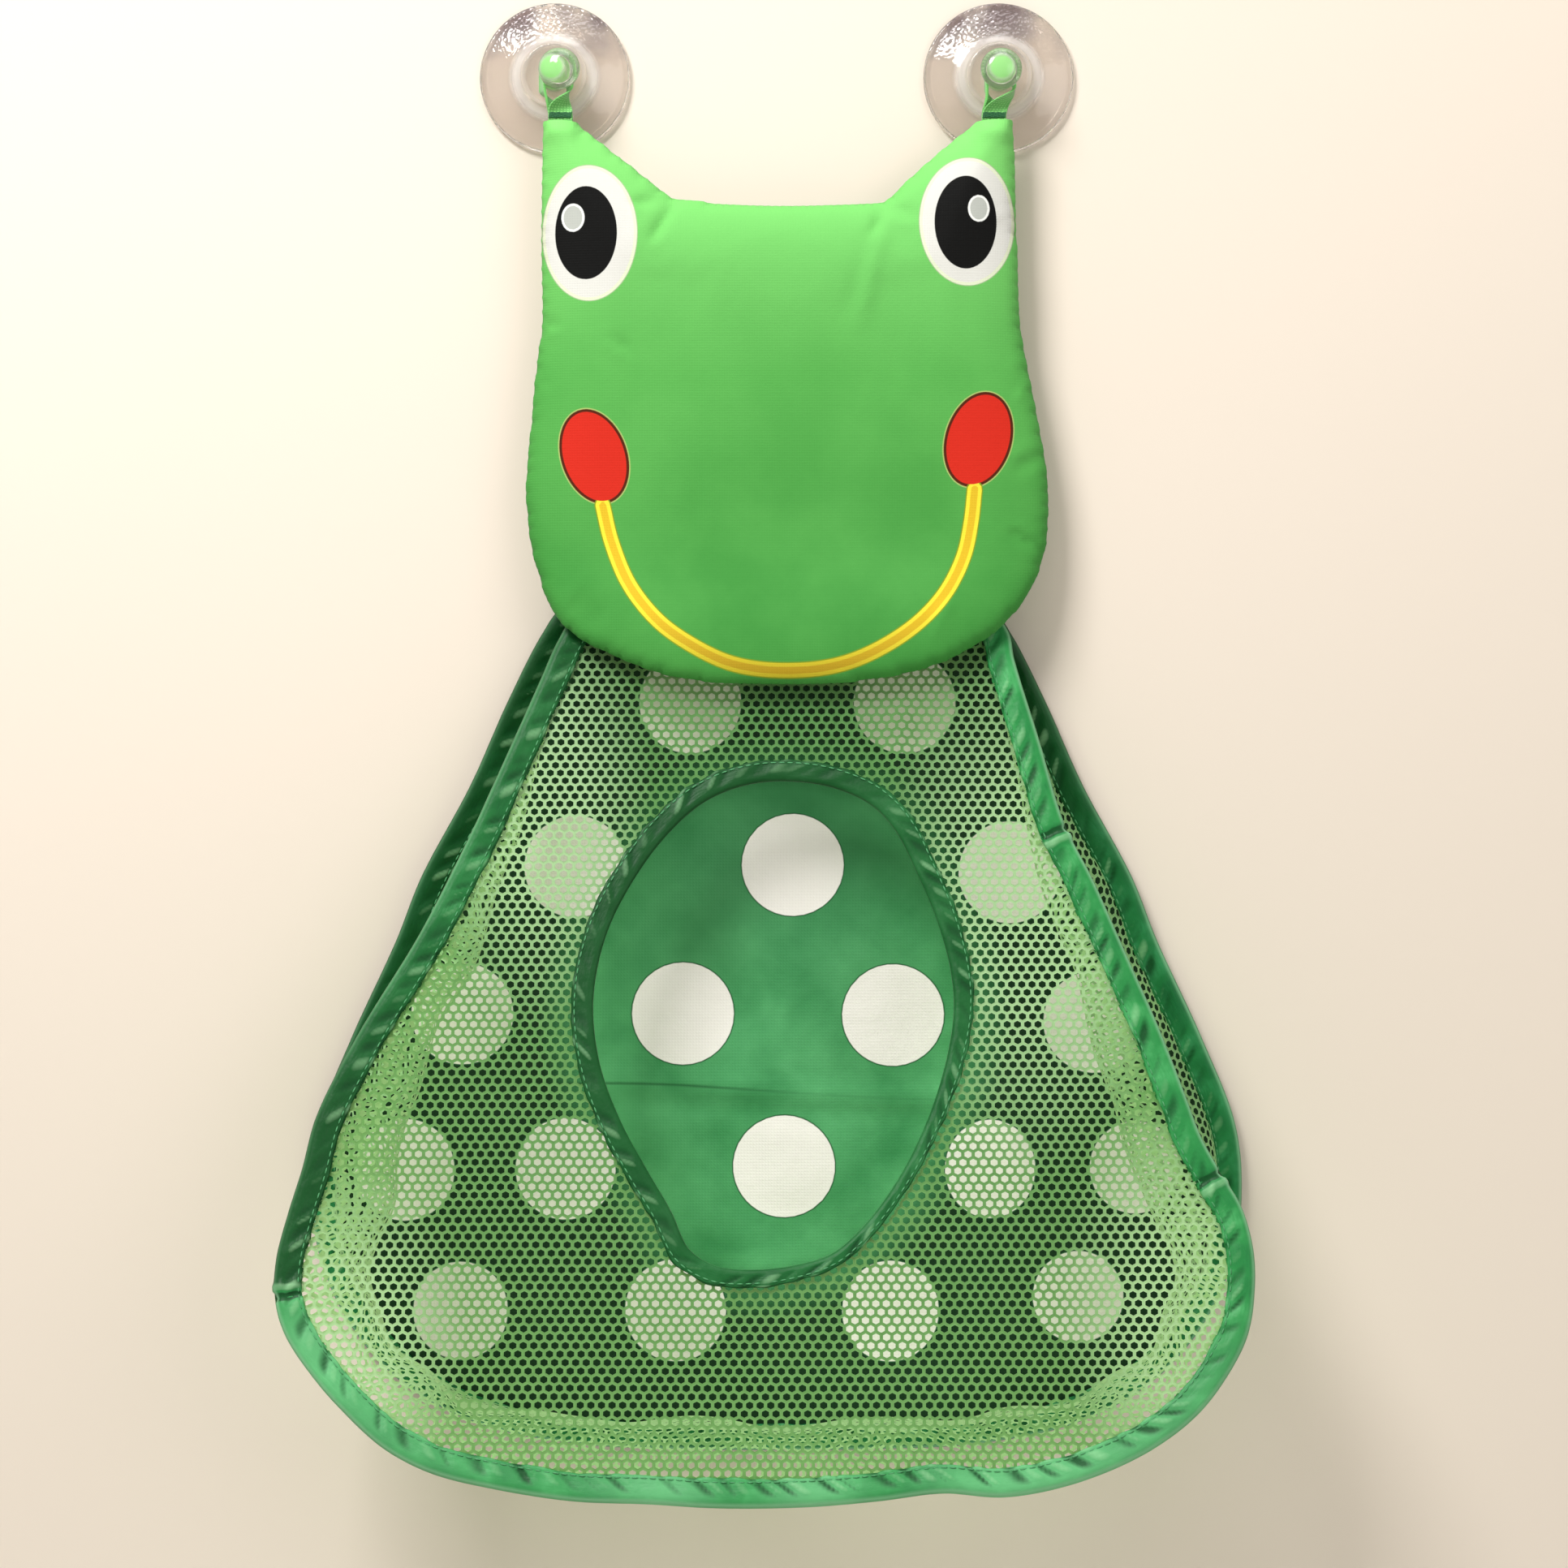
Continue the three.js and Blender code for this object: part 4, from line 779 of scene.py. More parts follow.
def tape_loop(name, ear_x, centre_x, lean):
    neck_depth, full = HUB_H + NECK_L / 2, NECK_L + KNOB_H
    neck_x = centre_x + lean * (neck_depth - HUB_H) / full
    rise, bottom = NECK_D / 2 + GAP + TAPE_T / 2, HEAD_TOP - LOOP_TAIL
    rows, middle = [], []

    def lay(centre, wide, thin):
        rows.append([centre + wide * (w * TAPE_W / 2) + thin * (t * TAPE_T / 2) for w, t in TAPE_SECTION])
        middle.append(centre)

    def leg(sign, z):
        t = float(smooth((z - HEAD_TOP - TAPE_T) / (-NECK_D / 2 - 2 * TAPE_T - HEAD_TOP - TAPE_T)))
        turn = t * math.pi / 2
        apart = LOOP_LEGS_APART / 2 * (1 - t * t) + rise * t * t
        thin = np.array([math.sin(turn), -math.cos(turn), 0]) * sign
        wide = np.array([math.cos(turn), math.sin(turn), 0])
        wide[0] -= t * wide[1] * lean / full
        x = ear_x + t * (neck_x - ear_x)
        deep = EAR_DEPTH + (neck_depth - EAR_DEPTH) * t**3
        lay(np.array([x, -deep, z]) + thin * apart, wide, thin)

    for share in np.linspace(0, 1, LEG_ROWS):
        leg(1, bottom * (1 - share))
    for a in np.linspace(0, math.pi, BEND_ROWS)[1:-1]:
        thin = np.array([math.cos(a), 0, math.sin(a)])
        lay(np.array([neck_x, -neck_depth, 0]) + thin * rise, np.array([-lean / full, 1.0, 0]), thin)
    for share in np.linspace(1, 0, LEG_ROWS):
        leg(-1, bottom * (1 - share))
    along = lengths(middle, closed=False)
    across = lengths([(w * TAPE_W / 2, t * TAPE_T / 2) for w, t in TAPE_SECTION])
    made = rows_to_piece(name, np.array(rows) / 1000, along / 1000, across / 1000, tube=True)
    made.data.materials.append(loop_tape)
    return face_out(made)


# Woven polyester tape: ribs across and a soft lustre.
loop_tape, tree, shader, _ = blank_material("woven polyester tape")
uv = add(tree, "ShaderNodeUVMap", uv_map="cloth").outputs[0]
ribs = add(tree, "ShaderNodeTexWave", {"Vector": uv, "Scale": band(0.0009), "Distortion": 1.2, "Detail": 2.0},
           bands_direction="Y").outputs["Fac"]
cross = add(tree, "ShaderNodeTexWave", {"Vector": uv, "Scale": band(0.0012), "Distortion": 0.8},
            bands_direction="X").outputs["Fac"]
knit = add(tree, "ShaderNodeMath", {0: ribs, 1: cross}, operation="MULTIPLY")
blotch = add(tree, "ShaderNodeTexNoise", {"Vector": uv, "Scale": 180.0, "Detail": 3.0})
tint = add(tree, "ShaderNodeMix", {0: blotch, 6: linear("#84db70"), 7: linear("#b6f4a2")}, data_type="RGBA")
tint = add(tree, "ShaderNodeMix", {0: knit, 6: linear("#66bd58"), 7: tint.outputs[2]}, data_type="RGBA")
bump = add(tree, "ShaderNodeBump", {"Height": knit, "Strength": 0.6, "Distance": 0.00025})
feed(tree, shader, {"Base Color": tint.outputs[2], "Roughness": 0.55, "Sheen Weight": 0.3, "Normal": bump})

for side_name, sign, lean, ear in (("left", -1, LEFT_KNOB_LEAN, 0), ("right", 1, 0, 1)):
    centre = sign * CUP_SPACING / 2
    made = tape_loop(f"{side_name}_tape_loop", ears[ear][0], centre, lean)
    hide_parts(f"{side_name}_hang_loop")
    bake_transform(made, "suction_cups", "hung_bag", (mm(centre), mm(-12.9), mm(-4)), (mm(centre), mm(-14), mm(-17)))
    print(made.name, triangles(made), "triangles")

# %% [markdown]
# ## Folded tape round the hoops
# A satin tape is folded over each hoop's wire and sewn through both of its edges, with the net between
# them. The tape is cut straight and the hoop is curved, so its inner edge is too long and gathers into
# slanting puckers. They are displaced along the tape at an uneven pace, as fingers at a sewing machine
# leave them.

# %% A swept tape with puckers
def pucker_field(length, pace, seed, slant=1.0):
    chance = random.Random(seed)
    places, s = [], 0.0
    while s < length:
        places.append((s, chance.uniform(0.35, 1.0), chance.uniform(1.6, 3.8),
                       chance.uniform(-1, 1) * 0.3 + slant))
        s += pace * chance.uniform(0.6, 1.45)

    def height(s, inward):
        """s along the tape and inward, 0 at the wire to 1 at the tape's edge; both are arrays."""
        total = np.zeros(np.broadcast(s, inward).shape)
        for at, strength, width, lean in places:
            off = (s - at - lean * inward * 7 + length / 2) % length - length / 2
            ridge = np.exp(-((off / width) ** 2)) - 0.7 * np.exp(-(((off - 1.6 * width) / width) ** 2))
            total += strength * ridge
        held = 1 - 0.6 * np.exp(-(((inward - 0.84) / 0.07) ** 2))  # the stitches press the puckers flat
        return total * smooth(0.1 + inward * 2.2) * held
    return height


def folded_tape(name, loop, plane, outer, inner, pace, seed, puff, edge_wave, tone, width_at=None, steps=()):
    """outer and inner are the section's two faces, from the front edge round the wire to the back edge."""
    normals = outward(loop)
    n = len(loop)
    s, length = lengths(loop)[:-1], lengths(loop)[-1]
    section = np.array(list(outer) + list(inner)[::-1], float)
    m, side = len(outer), np.sign(section[0, 0])
    around = np.gradient(section[:m], axis=0)
    around /= np.linalg.norm(around, axis=1)[:, None]
    push = np.stack([around[:, 1], -around[:, 0]], axis=1)
    push *= np.sign((push * (section[:m] - [-1.5, 0])).sum(axis=1))[:, None]
    reach = max(abs(section[:m, 0].min()), abs(section[:m, 0].max()))
    inward = np.clip(side * section[:m, 0] / reach, 0, 1)
    front_field, back_field = pucker_field(length, pace, seed), pucker_field(length, pace, seed + 1)
    rng = np.random.default_rng(seed)
    sway = sum(rng.uniform(0.2, 1) * np.sin(2 * np.pi * k * s / length + rng.uniform(0, 6.3))
               for k in range(9, 60, 3))
    sway = edge_wave * sway / np.abs(sway).max()
    grid = np.zeros((n, len(section), 3))
    narrow = np.ones(n) if width_at is None else width_at(s / length)
    ridge = np.zeros(n)
    for place in steps:  # one layer of tape ends over another: a lip, then a groove
        off = (s - s[np.argmin(np.hypot(*(loop - place).T))] + length / 2) % length - length / 2
        ridge += 0.75 * np.exp(-(((off - 2.2) / 1.6) ** 2)) - 1.1 * np.exp(-(((off + 0.9) / 1.1) ** 2))
    # Pucker heights, kept for painted highlights on their crests and painted shade in their valleys.
    painted_pucker_light = np.zeros((n, len(section)))
    for j, (u, v) in enumerate(section):
        uu, vv = np.full(n, u), np.full(n, v)
        if j < m:
            pucker = (front_field if v >= 0 else back_field)(s, np.full(n, inward[j]))
            painted_pucker_light[:, j] = pucker + 1.4 * ridge * (v >= 0)
            lift = puff * pucker + ridge * (v >= 0)
            uu, vv = uu + push[j, 0] * lift, vv + push[j, 1] * lift
        edge = np.clip(abs(u) / reach, 0, 1) * (np.sign(u) == side)
        uu = uu * np.where(edge > 0, narrow, 1) + sway * edge**2
        grid[:, j] = plane(loop[:, 0] + uu * normals[:, 0], loop[:, 1] + uu * normals[:, 1], vv)
    made = rows_to_piece(name, grid, np.append(s, length) / 1000, lengths(section) / 1000, ring=True, tube=True)
    # The tape's painted light and shade, one value for each step along it.
    painted_light_level = tone(loop, normals)
    store(made, "painted_light_level", np.repeat(painted_light_level, len(section)))
    store(made, "painted_pucker_light", painted_pucker_light.ravel())
    # A painted highlight along the fold over the wire, weaker where the tape has painted shade.
    rim = np.exp(-(((section[:, 0] * -side - 1.9) / 0.55) ** 2)) * (section[:, 1] > 0)
    store(made, "painted_fold_highlight", np.outer(1 + 0.8 * np.minimum(painted_light_level, 0), rim).ravel())
    return face_out(made)


# Painted light on the satin, by the way its threads lie to the light: painted shade down the left and a painted
# sheen along the bottom.
LEFT_FOLD = (-170.8, 258.4)


def paint_front_light(loop, normals):
    left = smooth(-1.6 * normals[:, 0] - 0.1) * smooth((LEFT_FOLD[1] - loop[:, 1]) / 3)
    shade = np.interp(loop[:, 1], [28, 69, 110, 151, 191], [0.85, 0.65, 0.5, 0.7, 0.95])
    drift = 0.6 + 0.4 * np.sin(loop[:, 0] / 13 + 2 * np.sin(loop[:, 0] / 37))
    return drift * smooth(1.5 * normals[:, 1]) * (1 - left) - left * shade


# Painted shade on the back tape: darker towards the top and down its left side.
def paint_back_light(loop, normals):
    left = smooth(-1.6 * normals[:, 0] - 0.1) * smooth((240 - loop[:, 1]) / 40)
    return -np.maximum(smooth((150 - loop[:, 1]) / 110), 0.9 * left)


# Painted shade over the whole mouth tape, a little lighter along its lower and right sides.
def paint_mouth_light(loop, normals):
    return -0.96 + 0.25 * smooth(normals[:, 1]) + 0.2 * smooth(normals[:, 0])


def folded(half, step=0.55):
    """A section over the wire: one side's points up to the fold, and the same again on the other side."""
    return through(half + [(u, -v) for u, v in reversed(half[:-1])], step, closed=False)


RIM_OUTER = folded([(-7.0, 1.0), (-6.7, 1.32), (-5.4, 1.55), (-3.6, 1.9), (-1.6, 2.42), (0.4, 2.6), (1.9, 1.9),
                    (2.65, 0)])
RIM_INNER = folded([(-6.9, 0.62), (-3.8, 0.75), (-1.2, 1.55), (1.0, 1.5), (1.8, 0)], 1.4)
TAPE_ENDS = [(101.0, 95.0), (151.6, 218.8), LEFT_FOLD]  # the overlap of its two ends, then two hard folds
front_tape = folded_tape("front_hoop_tape", front_loop, on_front, RIM_OUTER, RIM_INNER, 10.5, 4, 0.62, 0.45,
                         paint_front_light, steps=TAPE_ENDS)
back_tape = folded_tape("back_hoop_tape", back_loop, on_back, RIM_OUTER, RIM_INNER, 11.5, 11, 0.60, 0.4,
                        paint_back_light)
print("front tape", triangles(front_tape), "back tape", triangles(back_tape), "triangles")

# %% The mouth's tape is wide at the top left and narrow at the lower right
def mouth_width(share):
    """Share of the full width: the sewing drifts off the tape at the lower right."""
    low_right = np.exp(-(((share - 0.40) / 0.13) ** 2))
    return 1.08 - 0.55 * low_right


MOUTH_OUTER = folded([(6.0, 0.95), (5.7, 1.15), (4.0, 1.25), (2.0, 1.3), (0.4, 1.3), (-0.9, 0.8), (-1.25, 0)],
                     0.5)
MOUTH_INNER = folded([(5.9, 0.58), (3.0, 0.62), (1.3, 0.6), (0.4, 0)], 1.4)
mouth_tape = folded_tape("mouth_tape", opening_loop, on_front, MOUTH_OUTER, MOUTH_INNER, 12.0, 23, 0.50, 0.35,
                         paint_mouth_light, mouth_width)
print("mouth tape", triangles(mouth_tape), "triangles")

# %% Satin polyester tape: long floating threads streak it along its length, and each pucker gets a bright painted highlight
def satin(name, deep, mid, bright):
    material, tree, shader, _ = blank_material(name)
    uv = add(tree, "ShaderNodeUVMap", uv_map="cloth")
    where = add(tree, "ShaderNodeTexCoord").outputs["Object"]
    broad = add(tree, "ShaderNodeTexNoise", {"Vector": where, "Scale": 70.0, "Detail": 3.0})
    tone = add(tree, "ShaderNodeValToRGB", {"Fac": broad})
    tone.color_ramp.elements[0].position, tone.color_ramp.elements[0].color = 0.36, linear(deep)
    tone.color_ramp.elements[1].position, tone.color_ramp.elements[1].color = 0.64, linear(bright)
    tone.color_ramp.elements.new(0.5).color = linear(mid)
    stretched = add(tree, "ShaderNodeMapping", {"Vector": uv, "Scale": (1400, 260, 1)})
    streak = add(tree, "ShaderNodeTexNoise", {"Vector": stretched, "Scale": 1.0, "Detail": 2.0})
    worn = add(tree, "ShaderNodeMix", {0: streak, 6: tone, 7: linear(mid)}, data_type="RGBA").outputs[2]
    # Painted light from the sewing's attributes: a painted sheen and painted shade by how the threads lie to the
    # light, painted highlights on the puckers' crests and painted shade in their valleys.
    for layer, start, end, most, shade in (
            ("painted_light_level", 0.0, 1.0, 0.6, "#79cb8b"), ("painted_light_level", 0.0, -1.0, 0.92, "#083c14"),
            ("painted_pucker_light", 0.35, 1.3, 0.6, "#a8e2a8"), ("painted_pucker_light", -0.02, -0.5, 0.88, "#07401a")):
        amount = add(tree, "ShaderNodeAttribute", attribute_name=layer).outputs["Fac"]
        amount = add(tree, "ShaderNodeMapRange", {"Value": amount, "From Min": start, "From Max": end,
                                                  "To Max": most})
        worn = add(tree, "ShaderNodeMix", {0: amount, 6: worn, 7: linear(shade)}, data_type="RGBA").outputs[2]
    # A painted highlight along the fold over the wire.
    line = add(tree, "ShaderNodeAttribute", attribute_name="painted_fold_highlight").outputs["Fac"]
    line = add(tree, "ShaderNodeMath", {0: line, 1: 0.7}, operation="MULTIPLY")
    worn = add(tree, "ShaderNodeMix", {0: line, 6: worn, 7: linear("#8fcf9c")}, data_type="RGBA").outputs[2]
    bump = add(tree, "ShaderNodeBump", {"Height": streak, "Strength": 0.5, "Distance": 0.00018})
    fluff = add(tree, "ShaderNodeTexNoise", {"Vector": where, "Scale": 420.0, "Detail": 2.0})
    bump = add(tree, "ShaderNodeBump", {"Height": fluff, "Strength": 0.3, "Distance": 0.0005, "Normal": bump})
    feed(tree, shader, {"Base Color": worn, "Roughness": 0.42, "Specular IOR Level": 0.16, "Normal": bump})
    return material


front_satin = satin("satin polyester tape", "#1e713a", "#2f8d48", "#55b56c")
back_satin = satin("satin polyester tape, in shade", "#155c31", "#22783f", "#3f9d62")
for tape, body, node_name, finish in ((front_tape, "front_frame", "front_rim_binding", front_satin),
                                      (back_tape, "hung_bag", "back_rim_binding", back_satin),
                                      (mouth_tape, "front_frame", "opening_binding", front_satin)):
    tape.data.materials.append(finish)
    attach(tape, body)
    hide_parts(node_name)

# %% [markdown]
# ## Stitching
# A lockstitch holds each tape's two edges on the net, with a stitch every 3 mm, about a millimetre from
# the edge. It is one small shape repeated along a path, so Geometry Nodes sets the stitches out: a path
# comes in, is cut into even steps, and a short pressed thread is laid along it at each step.

# %% The stitch tree
STITCH_PITCH, STITCH_IN, THREAD_T = 3.0, 1.1, 0.5


def stitch_tree(material):
    tree = bpy.data.node_groups.new("lockstitch", "GeometryNodeTree")
    tree.interface.new_socket("Path", in_out="INPUT", socket_type="NodeSocketGeometry")
    for name, value in (("Stitch spacing", 0.003), ("Stitch length", 0.0023), ("Thread thickness", 0.0005)):
        tree.interface.new_socket(name, in_out="INPUT", socket_type="NodeSocketFloat").default_value = value
    tree.interface.new_socket("Stitches", in_out="OUTPUT", socket_type="NodeSocketGeometry")
    put = add(tree, "NodeGroupInput").outputs
    seam = add(tree, "GeometryNodeMeshToCurve", {"Mesh": put["Path"]}).outputs[0]
    points = add(tree, "GeometryNodeCurveToPoints", {"Curve": seam, "Length": put["Stitch spacing"]},
                 mode="LENGTH")
    way = add(tree, "FunctionNodeAlignRotationToVector", {"Vector": points.outputs["Tangent"]}, axis="X")
    thread = add(tree, "GeometryNodeMeshUVSphere", {"Segments": 8, "Rings": 6, "Radius": 0.5}).outputs["Mesh"]
    size = add(tree, "ShaderNodeCombineXYZ", {0: put["Stitch length"], 1: put["Thread thickness"],
                                              2: put["Thread thickness"]})
    laid = add(tree, "GeometryNodeInstanceOnPoints", {
        "Points": points.outputs["Points"], "Instance": thread, "Rotation": way.outputs[0],
        "Scale": size.outputs[0]})
    laid = add(tree, "GeometryNodeRealizeInstances", {"Geometry": laid.outputs[0]}).outputs[0]
    laid = add(tree, "GeometryNodeSetShadeSmooth", {0: laid}).outputs[0]
    laid = add(tree, "GeometryNodeSetMaterial", {"Geometry": laid, "Material": material}).outputs[0]
    add(tree, "NodeGroupOutput", {0: laid})
    return tree


def stitched(name, loop, plane, section, tree, width_at=None):
    """One row of stitches, a set way in from the edge of a tape with that section."""
    s = lengths(loop)
    narrow = np.ones(len(loop)) if width_at is None else width_at(s[:-1] / s[-1])
    edge = section[0, 0]
    across = edge * narrow - np.sign(edge) * STITCH_IN
    face = section[(section[:, 1] > 0) & (section[:, 0] * edge > 0)]
    face = face[np.argsort(np.abs(face[:, 0]))]
    out = np.interp(np.abs(across / narrow), np.abs(face[:, 0]), face[:, 1]) + THREAD_T / 3
    normals = outward(loop)
    path = plane(loop[:, 0] + across * normals[:, 0], loop[:, 1] + across * normals[:, 1], out)
    return run_tree(name, path_of(path, closed=True), tree, {
        "Stitch spacing": mm(STITCH_PITCH), "Thread thickness": mm(THREAD_T)})


def path_of(points, closed):
    """A bare line of edges for a tree to work along."""
    count = len(points) if closed else len(points) - 1
    mesh = bpy.data.meshes.new("path")
    mesh.from_pydata([tuple(p) for p in points], [(i, (i + 1) % len(points)) for i in range(count)], [])
    return placed("path", mesh)


def run_tree(name, source, tree, values):
    """Runs a tree over an object and gives its result back as an ordinary mesh."""
    modifier = source.modifiers.new("made", "NODES")
    modifier.node_group = tree
    for item in tree.interface.items_tree:
        if item.in_out == "INPUT" and item.name in values:
            modifier[item.identifier] = float(values[item.name])
    mesh = bpy.data.meshes.new_from_object(source.evaluated_get(bpy.context.evaluated_depsgraph_get()))
    mesh.name = name
    made = placed(name, mesh)
    source.modifiers.remove(modifier)
    bpy.data.objects.remove(source)
    return made


def thread_material(name, dark, light):
    """Spun polyester sewing thread, twisted."""
    material, tree, shader, _ = blank_material(name)
    where = add(tree, "ShaderNodeTexCoord").outputs["Object"]
    twist = add(tree, "ShaderNodeTexNoise", {"Vector": where, "Scale": 2200.0, "Detail": 2.0})
    tone = add(tree, "ShaderNodeMix", {0: twist, 6: linear(dark), 7: linear(light)}, data_type="RGBA")
    feed(tree, shader, {"Base Color": tone.outputs[2], "Roughness": 0.6})
    return material


stitches = stitch_tree(thread_material("spun polyester thread", "#2b7d45", "#63b178"))
for name, loop, plane, section, width_at, body in (
        ("front_tape_stitches", front_loop, on_front, RIM_OUTER, None, "front_frame"),
        ("back_tape_stitches", back_loop, on_back, RIM_OUTER, None, "hung_bag"),
        ("mouth_stitches", opening_loop, on_front, MOUTH_OUTER, mouth_width, "front_frame")):
    made = stitched(name, loop, plane, section, stitches, width_at)
    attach(made, body)
    print(made.name, triangles(made), "triangles")

# %% Bar tacks: close zigzags of dark thread that close each ear round its loop
TACK_POINTS, TACK_WIDTH, TACK_MIDDLE, TACK_RISE = 26, 0.92, 1.6, 0.9  # the width is a share of the tape's
tack_tree = stitch_tree(thread_material("dark green bar-tack thread", "#0f4423", "#2b7a43"))
tack_front = -(EAR_DEPTH + LOOP_LEGS_APART / 2 + TAPE_T / 2 + THREAD_T / 3)
for side_name, (ear_x, _) in zip(("left", "right"), ears):
    across = np.linspace(-TACK_WIDTH / 2, TACK_WIDTH / 2, TACK_POINTS) * TAPE_W
    rise = HEAD_TOP + TACK_MIDDLE + TACK_RISE * np.where(np.arange(TACK_POINTS) % 2, 1, -1)
    zigzag = [(mm(ear_x + a), mm(tack_front), mm(r)) for a, r in zip(across, rise)]
    made = run_tree(f"{side_name}_bar_tack", path_of(zigzag, closed=False), tack_tree, {
        "Stitch spacing": mm(0.5), "Stitch length": mm(0.8), "Thread thickness": mm(THREAD_T)})
    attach(made, "hung_bag")
    print(made.name, triangles(made), "triangles")

# %% [markdown]
# ## Knitted net
# The bag's front and side are a warp-knitted polyester net: six-sided holes about 2.4 mm wide, 3.6 mm
# apart, in staggered rows. One hole and the yarn round it repeat thousands of times over a surface that
# bends, which is work for Geometry Nodes. The tree lays a flat honeycomb of small frames in the cloth's
# own UV space, drops what falls outside the cut, and then moves every point to the place where that UV
# lies on the hung cloth. The holes are real, so light, wall and back panel show through them.

# %% The honeycomb tree
HOLE_PITCH, HOLE_ROW, YARN_HEIGHT = 0.0036, 0.00288, 0.0003
HOLE_SHARE = 0.68  # of the pitch, so a hole is about 2.4 mm wide


def knit_tree(material):
    tree = bpy.data.node_groups.new("warp_knit", "GeometryNodeTree")
    tree.interface.new_socket("Cloth", in_out="INPUT", socket_type="NodeSocketGeometry")
    for name, value in (("Hole spacing", 0.0035), ("Row spacing", 0.0028), ("Hole share", 0.6),
                        ("Yarn height", 0.0003), ("Width", 0.3), ("Length", 0.3), ("Middle across", 0.0),
                        ("Middle down", 0.0)):
        tree.interface.new_socket(name, in_out="INPUT", socket_type="NodeSocketFloat").default_value = value
    tree.interface.new_socket("Net", in_out="OUTPUT", socket_type="NodeSocketGeometry")
    put = add(tree, "NodeGroupInput").outputs

    pitch, row = put["Hole spacing"], put["Row spacing"]
    position = add(tree, "GeometryNodeInputPosition")
    columns = add(tree, "ShaderNodeMath", {0: put["Width"], 1: pitch}, operation="DIVIDE")
    columns = add(tree, "ShaderNodeMath", {0: columns}, operation="CEIL")
    rows = add(tree, "ShaderNodeMath", {0: put["Length"], 1: row}, operation="DIVIDE")
    rows = add(tree, "ShaderNodeMath", {0: rows}, operation="CEIL")
    grid = add(tree, "GeometryNodeMeshGrid", {
        "Size X": add(tree, "ShaderNodeMath", {0: columns, 1: pitch}, operation="MULTIPLY"),
        "Size Y": add(tree, "ShaderNodeMath", {0: rows, 1: row}, operation="MULTIPLY"),
        "Vertices X": add(tree, "ShaderNodeMath", {0: columns, 1: 1.0}, operation="ADD"),
        "Vertices Y": add(tree, "ShaderNodeMath", {0: rows, 1: 1.0}, operation="ADD")})
    # Every other row moves across by half a hole.
    line = add(tree, "ShaderNodeSeparateXYZ", {0: position}).outputs["Y"]
    line = add(tree, "ShaderNodeMath", {0: line, 1: 10.0}, operation="ADD")
    line = add(tree, "ShaderNodeMath", {0: line, 1: row}, operation="DIVIDE")
    line = add(tree, "ShaderNodeMath", {0: line}, operation="ROUND")
    odd = add(tree, "ShaderNodeMath", {0: line, 1: 2.0}, operation="FLOORED_MODULO")
    half_pitch = add(tree, "ShaderNodeMath", {0: pitch, 1: 0.5}, operation="MULTIPLY")
    shift = add(tree, "ShaderNodeMath", {0: odd, 1: half_pitch}, operation="MULTIPLY")
    shift = add(tree, "ShaderNodeMath", {0: shift, 1: put["Middle across"]}, operation="ADD")
    shift = add(tree, "ShaderNodeCombineXYZ", {0: shift, 1: put["Middle down"]})
    points = add(tree, "GeometryNodeSetPosition", {"Geometry": grid, "Offset": shift})

    # One hole: a six-sided frame, raised by the yarn's height, with its inner edge pressed down.
    outer = add(tree, "ShaderNodeMath", {0: pitch, 1: math.sqrt(3)}, operation="DIVIDE")
    disc = add(tree, "GeometryNodeMeshCircle", {"Vertices": 6, "Radius": outer}, fill_type="NGON")
    disc = add(tree, "GeometryNodeTransform", {"Geometry": disc, "Rotation": (0, 0, math.pi / 6)})
    squashed = add(tree, "ShaderNodeMath", {0: pitch, 1: 0.866}, operation="MULTIPLY")
    squashed = add(tree, "ShaderNodeMath", {0: row, 1: squashed}, operation="DIVIDE")
    squeeze = add(tree, "ShaderNodeCombineXYZ", {0: 1.0, 1: squashed, 2: 1.0})
    disc = add(tree, "GeometryNodeTransform", {"Geometry": disc, "Scale": squeeze})
    lift = add(tree, "ShaderNodeCombineXYZ", {2: put["Yarn height"]})
    disc = add(tree, "GeometryNodeSetPosition", {"Geometry": disc, "Offset": lift})
    extruded = add(tree, "GeometryNodeExtrudeMesh", {"Mesh": disc, "Offset Scale": 0.0, "Individual": False})
    top = extruded.outputs["Top"]
    scaled = add(tree, "GeometryNodeScaleElements", {"Geometry": extruded, "Selection": top,
                                                     "Scale": put["Hole share"]})
    hollow = add(tree, "GeometryNodeDeleteGeometry", {"Geometry": scaled, "Selection": top}, domain="FACE",
                 mode="ALL")
    far = add(tree, "ShaderNodeVectorMath", {0: position, 1: (1, 1, 0)}, operation="MULTIPLY")
    far = add(tree, "ShaderNodeVectorMath", {0: far}, operation="LENGTH").outputs["Value"]
    reach = add(tree, "ShaderNodeMath", {0: outer, 1: 0.82}, operation="MULTIPLY")
    inner = add(tree, "ShaderNodeMath", {0: far, 1: reach}, operation="LESS_THAN")
    drop = add(tree, "ShaderNodeMath", {0: put["Yarn height"], 1: -1.0}, operation="MULTIPLY")
    drop = add(tree, "ShaderNodeCombineXYZ", {2: drop})
    cell = add(tree, "GeometryNodeSetPosition", {"Geometry": hollow, "Selection": inner, "Offset": drop})
    net = add(tree, "GeometryNodeInstanceOnPoints", {"Points": points, "Instance": cell})
    net = add(tree, "GeometryNodeRealizeInstances", {"Geometry": net})
    net = add(tree, "GeometryNodeMergeByDistance", {"Geometry": net, "Distance": 0.00005})

